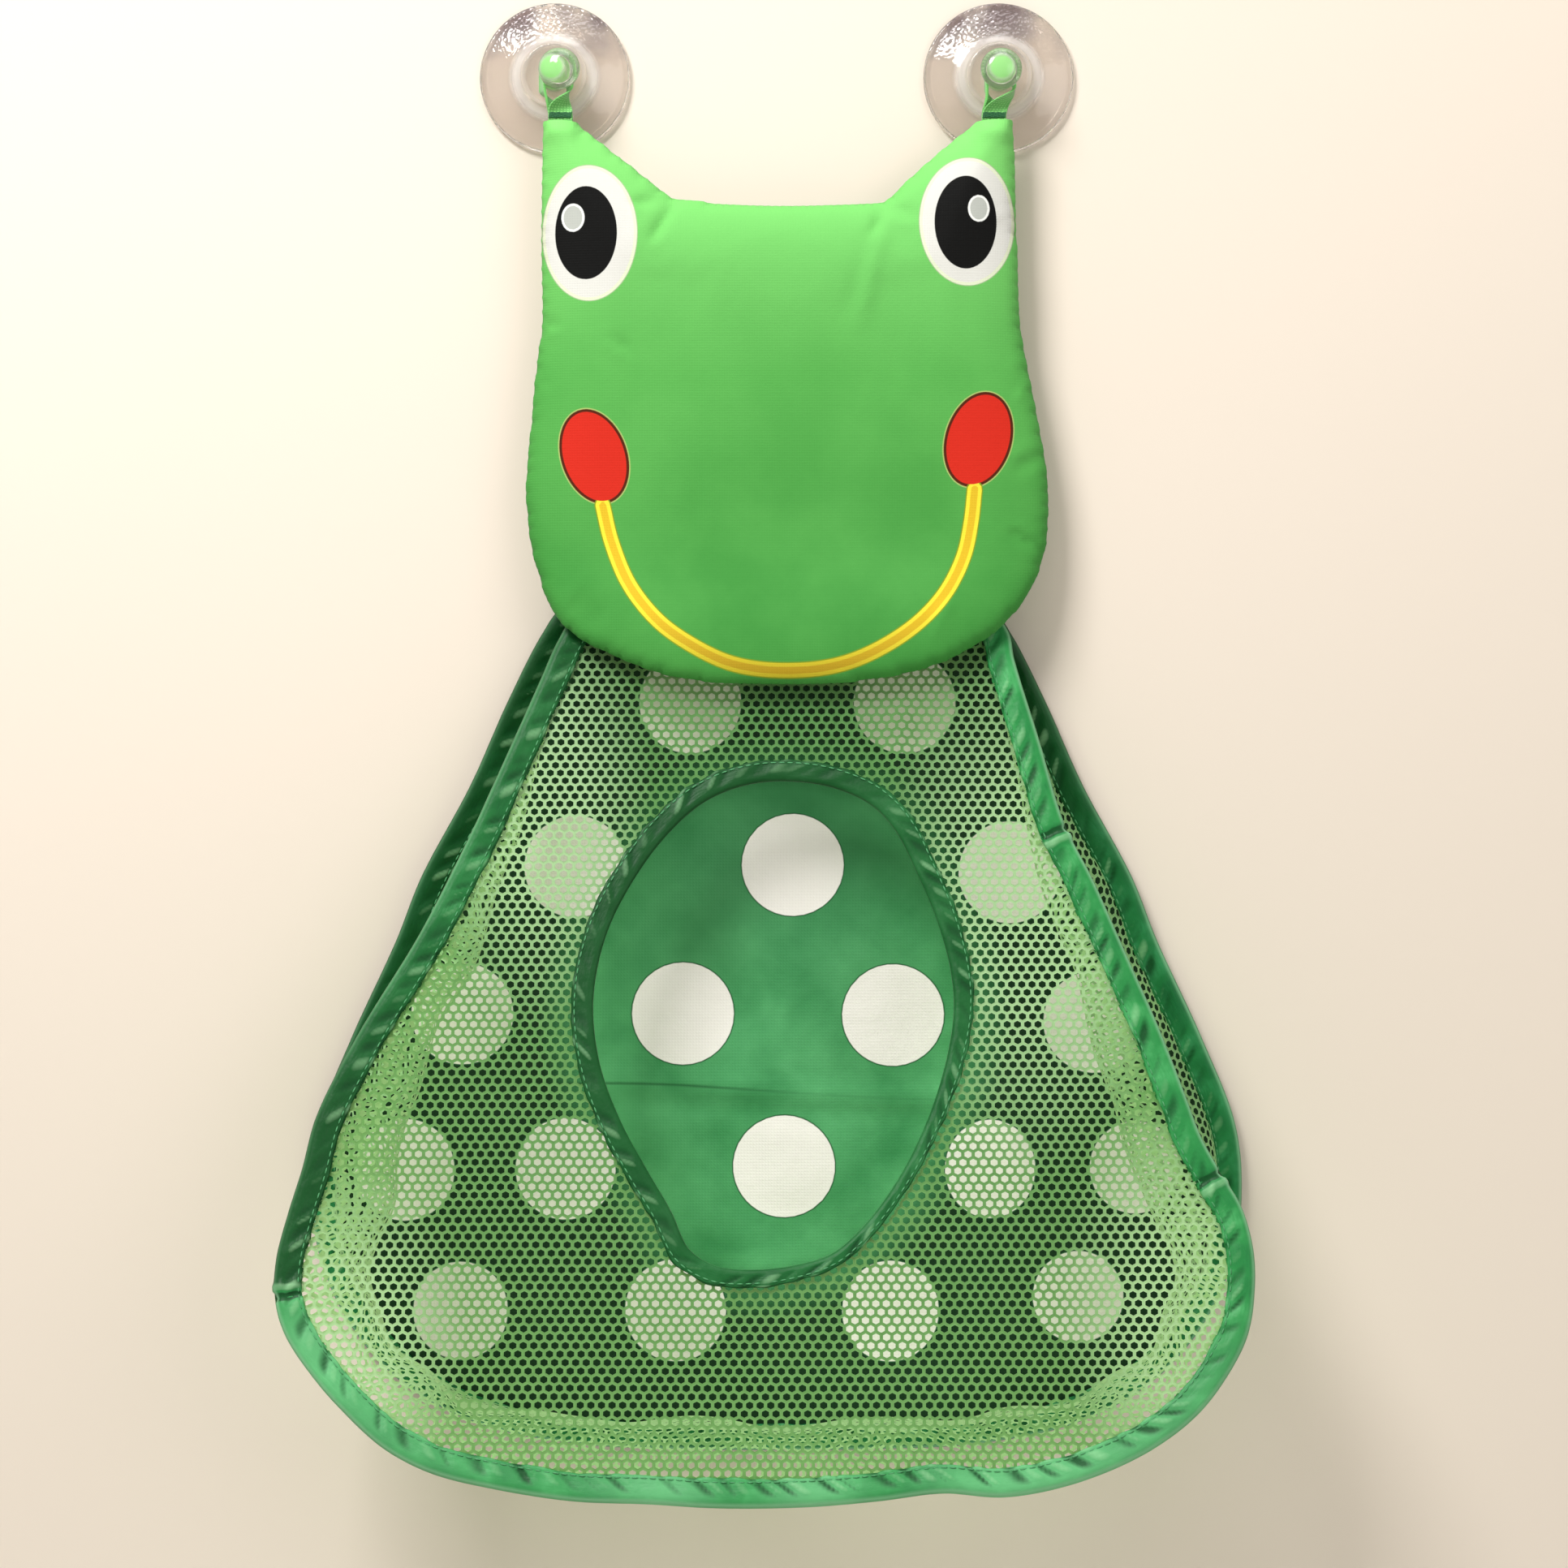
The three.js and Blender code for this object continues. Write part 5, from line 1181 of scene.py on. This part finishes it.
    # Each point of the flat net goes to the place where its own UV lies on the hung cloth.
    cloth_uv = add(tree, "GeometryNodeInputNamedAttribute", {"Name": "cloth"}, data_type="FLOAT_VECTOR")
    on_cloth, upright = (add(tree, "GeometryNodeSampleUVSurface", {
        "Mesh": put["Cloth"], "Value": value, "UV Map": cloth_uv, "Sample UV": position},
        data_type="FLOAT_VECTOR") for value in (position, add(tree, "GeometryNodeInputNormal")))
    outside = add(tree, "FunctionNodeBooleanMath", {0: on_cloth.outputs["Is Valid"]}, operation="NOT")
    net = add(tree, "GeometryNodeDeleteGeometry", {"Geometry": net, "Selection": outside}, domain="POINT",
              mode="ALL")
    tall = add(tree, "ShaderNodeSeparateXYZ", {0: position}).outputs["Z"]
    raised = add(tree, "ShaderNodeVectorMath", {0: upright, "Scale": tall}, operation="SCALE")
    final = add(tree, "ShaderNodeVectorMath", {0: on_cloth, 1: raised}, operation="ADD")
    net = add(tree, "GeometryNodeSetPosition", {"Geometry": net, "Position": final})
    net = add(tree, "GeometryNodeSetShadeSmooth", {0: net})
    net = add(tree, "GeometryNodeSetMaterial", {"Geometry": net, "Material": material}).outputs[0]
    add(tree, "NodeGroupOutput", {0: net})
    return tree


# %% Warp-knitted polyester: matt yarn, yellow-green, a little translucent
def net_yarn(name, dark, light, painted_light_patches=()):
    material, tree, shader, output = blank_material(name)
    where = add(tree, "ShaderNodeTexCoord").outputs["Object"]
    mottle = add(tree, "ShaderNodeTexNoise", {"Vector": where, "Scale": 320.0, "Detail": 3.0})
    yarn = add(tree, "ShaderNodeMix", {0: mottle, 6: linear(dark), 7: linear(light)}, data_type="RGBA").outputs[2]
    # Painted light: the yarn is painted paler in patches where the stretched net turns to the light.
    for x, z, half_width, half_height in painted_light_patches:  # where the stretched net turns to the light
        patch = add(tree, "ShaderNodeMapping", {"Vector": where, "Scale": (1 / half_width, 0, 1 / half_height),
                                                "Location": (-x / half_width, 0, -z / half_height)})
        patch = add(tree, "ShaderNodeTexGradient", {"Vector": patch}, gradient_type="SPHERICAL")
        patch = add(tree, "ShaderNodeMapRange", {"Value": patch.outputs["Fac"], "From Max": 0.6, "To Max": 0.9})
        yarn = add(tree, "ShaderNodeMix", {0: patch, 6: yarn, 7: linear("#ccf4b8")}, data_type="RGBA").outputs[2]
    # The yarn is thin enough to glow where light comes from behind it, as it does in front of the pale wall.
    glow = add(tree, "ShaderNodeBsdfTranslucent", {"Color": linear("#cdf0b4")})
    both = add(tree, "ShaderNodeMixShader", {0: 0.46, 1: shader, 2: glow})
    feed(tree, output, {"Surface": both})
    # Filaments of the yarn are under 0.1 mm; they are drawn 0.4 mm wide so that they catch light.
    fluff = add(tree, "ShaderNodeTexNoise", {"Vector": where, "Scale": 2600.0, "Detail": 2.0})
    bump = add(tree, "ShaderNodeBump", {"Height": fluff, "Strength": 0.5, "Distance": 0.0003})
    feed(tree, shader, {"Base Color": yarn, "Roughness": 0.6, "Specular IOR Level": 0.2, "Sheen Weight": 0.04,
                        "Normal": bump})
    return material


# The side net's yarn is painted paler than the front's: painted light, as light comes through it from behind.
front_knit = knit_tree(net_yarn("warp-knitted polyester net", "#4c8841", "#78b669",
                                [(0.090, -0.300, 0.055, 0.095), (-0.084, -0.265, 0.040, 0.080),
                                 (-0.150, -0.450, 0.045, 0.060), (0.142, -0.440, 0.045, 0.075)]))
side_knit = knit_tree(net_yarn("warp-knitted polyester net, side", "#8ed07c", "#bdeea8"))

# %% [markdown]
# ## The front net
# The front net is stretched in the front hoop and cut out for the mouth. It isn't drum-tight: it sags a
# little into the bag, with a long soft fold that runs down from the mouth's right shoulder.

# %% Cut the front cloth
def front_relief(x, drop):
    """How far the front cloth stands out of the hoop's plane, in millimetres."""
    loose = smooth(drop / 60) * smooth((FRONT_RING_H - drop) / 40)
    sway = 0.9 * np.sin(x / 31.0 + drop / 57.0) + 0.6 * np.sin(x / 17.0 - drop / 33.0 + 1.3)
    crease_x = np.interp(drop, [49.8, 87.5, 104.0, 127.2], [43.9, 45.5, 50.0, 61.5])
    fold = 2.4 * np.exp(-(((x - crease_x) / 5.0) ** 2)) * smooth((drop - 38) / 15) * smooth((142 - drop) / 20)
    # A narrow fold is pulled up to the right from the middle of the bottom.
    off_line = (x - 38.8) * 0.491 - (drop - 302.8) * 0.871
    pulled = 1.3 * np.exp(-((off_line / 2.0) ** 2)) * smooth((x - 30) / 12) * smooth((78 - x) / 12)
    relief = loose * sway + fold + pulled - 2.0 * loose * np.exp(-((x / 120) ** 2))
    return np.where(relief < 0, 0.35 * relief, relief)  # room for the side net when the bag is folded flat


def cloth_cut(outline, hole, spacing, at):
    """A flat cloth with a hole, as triangles; at(x, drop) lifts each point into place."""
    low, high = outline.min(axis=0), outline.max(axis=0)
    xs, ds = np.meshgrid(np.arange(low[0], high[0], spacing), np.arange(low[1], high[1], spacing))
    inner = np.stack([xs.ravel(), ds.ravel()], axis=1)
    keep = within(inner, outline)
    rings = [outline]
    if hole is not None:
        keep &= ~within(inner, hole)
        rings.append(hole)
    flat = [Vector(p) for p in np.vstack(rings + [inner[keep]])]
    edges, start = [], 0
    for ring in rings:
        edges += [(start + i, start + (i + 1) % len(ring)) for i in range(len(ring))]
        start += len(ring)
    points, _, cells, *_ = delaunay_2d_cdt(flat, edges, [], 2 if hole is not None else 1, 1e-4)
    flat = np.array([tuple(p) for p in points])
    if hole is not None:
        middles = np.array([flat[list(c)].mean(axis=0) for c in cells])
        cells = [c for c, out in zip(cells, within(middles, outline) & ~within(middles, hole)) if out]
    faces = [tuple(c) for c in cells]
    uv = np.array([flat[i] for c in faces for i in c]) / 1000
    return piece_from("cloth_cut", at(flat[:, 0], flat[:, 1]), faces, uv), flat, faces


def inset(loop, by):
    return loop - by * outward(loop)


def knitted(name, cut_cloth, tree, width, length, across, down):
    """Lays the net over a cut cloth. across and down are the middle of the net on the flat pattern."""
    return run_tree(name, cut_cloth, tree, {
        "Hole spacing": HOLE_PITCH, "Row spacing": HOLE_ROW, "Hole share": HOLE_SHARE,
        "Yarn height": YARN_HEIGHT, "Width": width, "Length": length, "Middle across": across,
        "Middle down": down})


front_cut, _, _ = cloth_cut(inset(front_loop, 4.2)[::3], inset(opening_loop, -2.2)[::3], 6.0,
                            lambda x, d: on_front(x, d, front_relief(x, d)))
front_net = knitted("front_net", front_cut, front_knit, 0.36, 0.34, 0.0, 0.165)
print("front net:", triangles(front_net), "triangles")
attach(front_net, "front_frame")
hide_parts("front_mesh_panel")

# %% [markdown]
# ## The side net
# The side wall is one long strip of the same net, from the back hoop to the front hoop: narrow at the
# top and widest at the bottom. It hangs slack, so it bows into the bag and gathers at the corners.

# %% Hang the side cloth between the hoops
SIDE_START, SIDE_END = 0.072, 0.928  # where the strip starts and ends, in shares of each hoop's length
BOW_PEAK = 6.75  # makes the highest value of t * t * (1 - t) one


def side_cloth(rows=26, columns=300):
    def along_of(loop):
        start = np.argmin(np.hypot(loop[:, 0], loop[:, 1]))
        turned = np.roll(loop, -start, axis=0)
        if turned[5, 0] < 0:
            turned = np.roll(turned[::-1], 1, axis=0)
        s = lengths(turned)
        closed = np.vstack([turned, turned[:1]])
        return lambda share: np.stack([np.interp(share * s[-1], s, closed[:, k]) for k in (0, 1)], axis=-1)

    shares = np.linspace(SIDE_START, SIDE_END, columns + 1)
    b, f = along_of(inset(back_loop, 6.4))(shares), along_of(inset(front_loop, 1.9))(shares)
    start, end = on_back(b[:, 0], b[:, 1], 1.0), on_front(f[:, 0], f[:, 1], -BEAD_R - 0.1)
    middle = np.array([0, 0, mm(RING_TOP - 0.6 * BACK_RING_H)])
    wide = np.linalg.norm(end - start, axis=1)
    s = lengths((start + end) / 2, closed=False)
    grid = []
    for t in np.linspace(0, 1, rows):
        p = start + t * (end - start)
        inward = middle - p
        inward[:, 1] = 0
        inward /= np.linalg.norm(inward, axis=1)[:, None]
        slump = 0.16 + 0.26 * smooth((p[:, 2] + 0.47) / 0.07)  # slacker up the sides than along the bottom
        bow = BOW_PEAK * t * t * (1 - t) * slump * wide
        slack = 4 * t * (1 - t) * smooth(wide / 0.05)
        ripple = mm(1.5) * np.sin(s * 1000 / 9.5 + 5 * t) + mm(1.1) * np.sin(s * 1000 / 23 - 4 * t + 1)
        corner = np.exp(-(((shares - 0.36) / 0.05) ** 2)) + np.exp(-(((shares - 0.64) / 0.05) ** 2))
        ripple = ripple + mm(2.2) * corner * np.sin(s * 1000 / 6.0)
        grid.append(p + inward * (bow + slack * ripple)[:, None])
    across = np.linspace(0, 1, rows)
    points = np.array(grid).reshape(-1, 3)
    faces, uv = [], []
    for r in range(rows - 1):
        for c in range(columns):
            corners4 = [(r, c), (r, c + 1), (r + 1, c + 1), (r + 1, c)]
            faces.append(tuple(i * (columns + 1) + k for i, k in corners4))
            uv += [(s[k], (across[i] - 0.5) * wide[k]) for i, k in corners4]
    return piece_from("side_cut", points, faces, uv), s[-1], wide


side_cut, side_length, side_widths = side_cloth()
side_width = side_widths.max()
side_net = knitted("side_net", side_cut, side_knit, side_length + 0.01, side_width + 0.01, side_length / 2, 0.0)
print("side net:", triangles(side_net), "triangles,", round(side_length, 3), "m long")
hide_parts("gusset_mesh")
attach(side_net, "hung_bag")
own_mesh(side_net)

# %% [markdown]
# ## The back panel
# The back is plain dark green nylon with large white dots, and it carries no weight, so it lies in soft
# shallow folds with one sharper cross fold where it was packed. The dots are printed, so they are an
# attribute of the cloth like the face.

# %% Fold the back cloth
DOT_D = 37.4
DOTS = [  # middle, width and height as they show; the cloth is drawn in at its lower corners
    (-31.6, -228.8, DOT_D, DOT_D), (46.8, -228.8, DOT_D, DOT_D),
    (-73.6, -288.8, DOT_D, DOT_D), (5.9, -288.2, DOT_D, DOT_D), (85.2, -290.9, DOT_D, DOT_D),
    (-115.0, -342.6, DOT_D, DOT_D), (-34.3, -342.6, DOT_D, DOT_D), (42.6, -343.2, DOT_D, DOT_D),
    (116.3, -345.6, DOT_D, DOT_D),
    (-136.0, -399.7, 36.5, DOT_D), (-77.2, -399.4, 36.6, DOT_D), (2.7, -398.5, DOT_D, DOT_D),
    (78.1, -399.4, 33.2, 36.1), (131.1, -398.8, 33.2, 34.0),
    (-115.6, -451.2, 34.7, 35.9), (-37.0, -451.2, 37.1, DOT_D), (41.7, -451.5, 35.5, 37.1),
    (110.3, -446.2, 33.2, 33.5),
]


def back_relief(x, drop):
    z = RING_TOP - drop
    across = np.clip(1 - (x / (0.40 * BACK_RING_W)) ** 2, 0, 1)
    down = np.clip(1 - ((drop - 0.6 * BACK_RING_H) / (0.38 * BACK_RING_H)) ** 2, 0, 1)
    free = smooth(across * down * 3)
    soft = 0.8 * np.sin(x / 19.0 + 1.8 * np.sin(z / 41.0)) * np.cos(z / 36.0 + x / 80.0)
    soft += 0.5 * np.sin(z / 13.0 + 1.5 * np.sin(x / 33.0)) + 0.35 * np.sin((x + z) / 9.0)
    line = z + 371 + 3 * np.sin(x / 40)
    fold = 1.2 * np.exp(-((line / 3.6) ** 2)) - 0.6 * np.exp(-(((line + 7) / 4.5) ** 2))
    return free * (soft + fold * smooth((110 - np.abs(x - 6)) / 60) - 0.6)


back_edge = inset(back_loop, 4.0)[::3]
back_cloth, flat_back, _ = cloth_cut(back_edge, None, 3.4, lambda x, d: on_back(x, d, back_relief(x, d)))
back_cloth.name = "dotted_back_cloth"
x, z = flat_back[:, 0], RING_TOP - flat_back[:, 1]
inside = np.full(len(x), -1e9)
for middle_x, middle_z, width, height in DOTS:
    inside = np.maximum(inside, oval(x, z, (middle_x, middle_z), width, height))
store(back_cloth, "dot", np.clip(inside, -30, 30))
# The mouth lets light in, a little lower on the panel than the mouth itself, for the light comes from above.
gate = on_front(opening_loop[:, 0], opening_loop[:, 1], 0)[:, [0, 2]] * 1000 - [0, 6]
apart = np.array([np.hypot(*(gate - p).T).min() for p in np.stack([x, z], axis=1)])
store(back_cloth, "under_mouth", np.where(within(np.stack([x, z], axis=1), gate), apart, -apart))
print("back cloth:", triangles(back_cloth), "triangles,", len(DOTS), "dots")

# %% Dotted nylon: satin face, white ink with a thin dark outline where the ink has spread
dotted_nylon, tree, shader, _ = blank_material("dotted nylon satin")
where = add(tree, "ShaderNodeTexCoord").outputs["Object"]
place = add(tree, "ShaderNodeSeparateXYZ", {0: where}).outputs
crinkle = add(tree, "ShaderNodeTexNoise", {"Vector": where, "Scale": 36.0, "Detail": 3.0, "Roughness": 0.5,
                                           "Distortion": 0.15})
cloud = add(tree, "ShaderNodeMapRange", {"Value": crinkle, "From Min": 0.18, "From Max": 0.82})
green = add(tree, "ShaderNodeMix", {0: cloud, 6: linear("#2c8046"), 7: linear("#63b878")}, data_type="RGBA")
# Painted shade: the cloth is darker towards the top, under the head's chin.
painted_chin_shade = add(tree, "ShaderNodeMapRange", {"Value": place["Z"], "From Min": -0.345, "From Max": -0.285,
                                        "To Max": 0.5})
green = add(tree, "ShaderNodeMix", {0: painted_chin_shade, 6: green.outputs[2], 7: linear("#1a5f33")}, data_type="RGBA")
# The line where the panel was folded across is painted darker, as shade in the crease, most of all on its left.
sway = add(tree, "ShaderNodeMath", {0: place["X"], 1: 25.0}, operation="MULTIPLY")
sway = add(tree, "ShaderNodeMath", {0: sway}, operation="SINE")
sway = add(tree, "ShaderNodeMath", {0: sway, 1: 0.003}, operation="MULTIPLY")
off_line = add(tree, "ShaderNodeMath", {0: place["Z"], 1: 0.371}, operation="ADD")
off_line = add(tree, "ShaderNodeMath", {0: off_line, 1: sway}, operation="ADD")
off_line = add(tree, "ShaderNodeMath", {0: off_line}, operation="ABSOLUTE")
painted_crease_shade = add(tree, "ShaderNodeMapRange", {"Value": off_line, "From Max": 0.0008, "To Min": 0.7, "To Max": 0.0})
fades = add(tree, "ShaderNodeMapRange", {"Value": place["X"], "From Min": -0.03, "From Max": 0.01,
                                         "To Min": 1.0, "To Max": 0.2})
painted_crease_shade = add(tree, "ShaderNodeMath", {0: painted_crease_shade, 1: fades}, operation="MULTIPLY")
green = add(tree, "ShaderNodeMix", {0: painted_crease_shade, 6: green.outputs[2], 7: linear("#0f4a24")}, data_type="RGBA")
# Painted shade: the cloth behind the net is painted a far deeper green, as light that reaches it has passed the
# net's yarn, while the cloth seen through the mouth keeps its lighter green. That holds on the room's side only; the
# cloth's faces point at the wall.
lit = add(tree, "ShaderNodeAttribute", attribute_name="under_mouth").outputs["Fac"]
lit = add(tree, "ShaderNodeMapRange", {"Value": lit, "From Min": -22.0, "From Max": -1.0})
room_side = add(tree, "ShaderNodeNewGeometry").outputs["Backfacing"]
wall_side = add(tree, "ShaderNodeMath", {0: 1.0, 1: room_side}, operation="SUBTRACT")
lit = add(tree, "ShaderNodeMath", {0: lit, 1: wall_side}, operation="MAXIMUM")
green = add(tree, "ShaderNodeMix", {0: lit, 6: linear("#082e12"), 7: green.outputs[2]}, data_type="RGBA")
# The white ink is painted a little greyer in the same shade behind the net.
ink = add(tree, "ShaderNodeMix", {0: lit, 6: linear("#f2ece2"), 7: linear("#faf4ee")}, data_type="RGBA")
dot = add(tree, "ShaderNodeAttribute", attribute_name="dot").outputs["Fac"]
rim = add(tree, "ShaderNodeMapRange", {"Value": dot, "From Min": -0.55, "From Max": -0.25})
white = add(tree, "ShaderNodeMapRange", {"Value": dot, "From Min": -0.1, "From Max": 0.2})
inked = add(tree, "ShaderNodeMix", {0: rim, 6: green.outputs[2], 7: linear("#1c5a30")}, data_type="RGBA")
inked = add(tree, "ShaderNodeMix", {0: white, 6: inked.outputs[2], 7: ink.outputs[2]}, data_type="RGBA")
facets = add(tree, "ShaderNodeTexVoronoi", {"Vector": where, "Scale": 34.0}, feature="F1").outputs["Distance"]
facets = add(tree, "ShaderNodeMath", {0: facets, 1: 0.35}, operation="MULTIPLY")
relief = add(tree, "ShaderNodeMath", {0: crinkle, 1: facets}, operation="ADD")
bump = add(tree, "ShaderNodeBump", {"Height": relief, "Strength": 0.4, "Distance": 0.003,
                                    "Normal": weave_bump(tree, where, 0.0011, 0.00018, 800.0)})
feed(tree, shader, {"Base Color": inked.outputs[2], "Roughness": 0.45, "Specular IOR Level": 0.22,
                    "Sheen Weight": 0.04, "Normal": bump})
back_cloth.data.materials.append(dotted_nylon)
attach(back_cloth, "hung_bag")
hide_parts("back_panel")

# %% [markdown]
# ## The joining strip
# Behind the chin a short tape joins the bag's top to the back of the head. Nobody sees it from the
# front, but it carries the whole bag.

# %% The strip behind the chin
def join_strip():
    low = -BACK_RING_DEPTH - RING_STEP / 2
    def back_face(z):
        return -(seam_depth(np.array(z, float)) - BACK_CROWN - HEAD_CLOTH - 2 * GAP - 0.4)
    top = RING_TOP + STRIP_RISE
    line = through([(low, RING_TOP - STRIP_DROP), (low, RING_TOP + BEAD_R * 0.6),
                    (low + 0.35 * (back_face(top) - low), RING_TOP + BEAD_R + 1.6),
                    (back_face(RING_TOP + 13), RING_TOP + 13), (back_face(RING_TOP + 19.5), RING_TOP + 19.5),
                    (back_face(top), top)], 1.2, closed=False)
    xs = np.linspace(-STRIP_W / 2, STRIP_W / 2, 64)
    grid = np.array([[(x, y + 0.15 * math.sin(x / 5.0), z) for x in xs] for y, z in line]) / 1000
    made = rows_to_piece("joining_tape", grid, lengths(line, closed=False) / 1000, (xs + STRIP_W / 2) / 1000)
    thick = made.modifiers.new("thickness", "SOLIDIFY")
    thick.thickness, thick.offset = 0.0007, 0
    made.data.materials.append(back_satin)
    return made


strip = join_strip()
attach(strip, "hung_bag")
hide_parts("joining_strip")

# %% [markdown]
# ## Wire and ferrules
# The hoops' spring wire and its crimped sleeves lie inside the tapes. Their solids are right as they
# are, so they stay and only get their metals.

# %% Drawn spring steel and crimped aluminium
def metal(name, colour, roughness, streaks):
    material, tree, shader, _ = blank_material(name)
    where = add(tree, "ShaderNodeTexCoord").outputs["Object"]
    lines = add(tree, "ShaderNodeTexNoise", {"Vector": where, "Scale": streaks, "Detail": 3.0})
    rough = add(tree, "ShaderNodeMapRange", {"Value": lines, "To Min": roughness * 0.8,
                                             "To Max": roughness * 1.3})
    feed(tree, shader, {"Base Color": linear(colour), "Metallic": 1.0, "Roughness": rough})
    return material


spring_steel = metal("drawn spring steel", "#a9adb2", 0.34, 900.0)
crimped = metal("crimped aluminium", "#c9ccd0", 0.3, 500.0)
for side_name in ("back", "front"):
    for node_name, finish in ((f"{side_name}_hoop_wire", spring_steel), (f"{side_name}_hoop_ferrule", crimped)):
        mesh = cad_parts[node_name].data
        mesh.materials.clear()
        mesh.materials.append(finish)
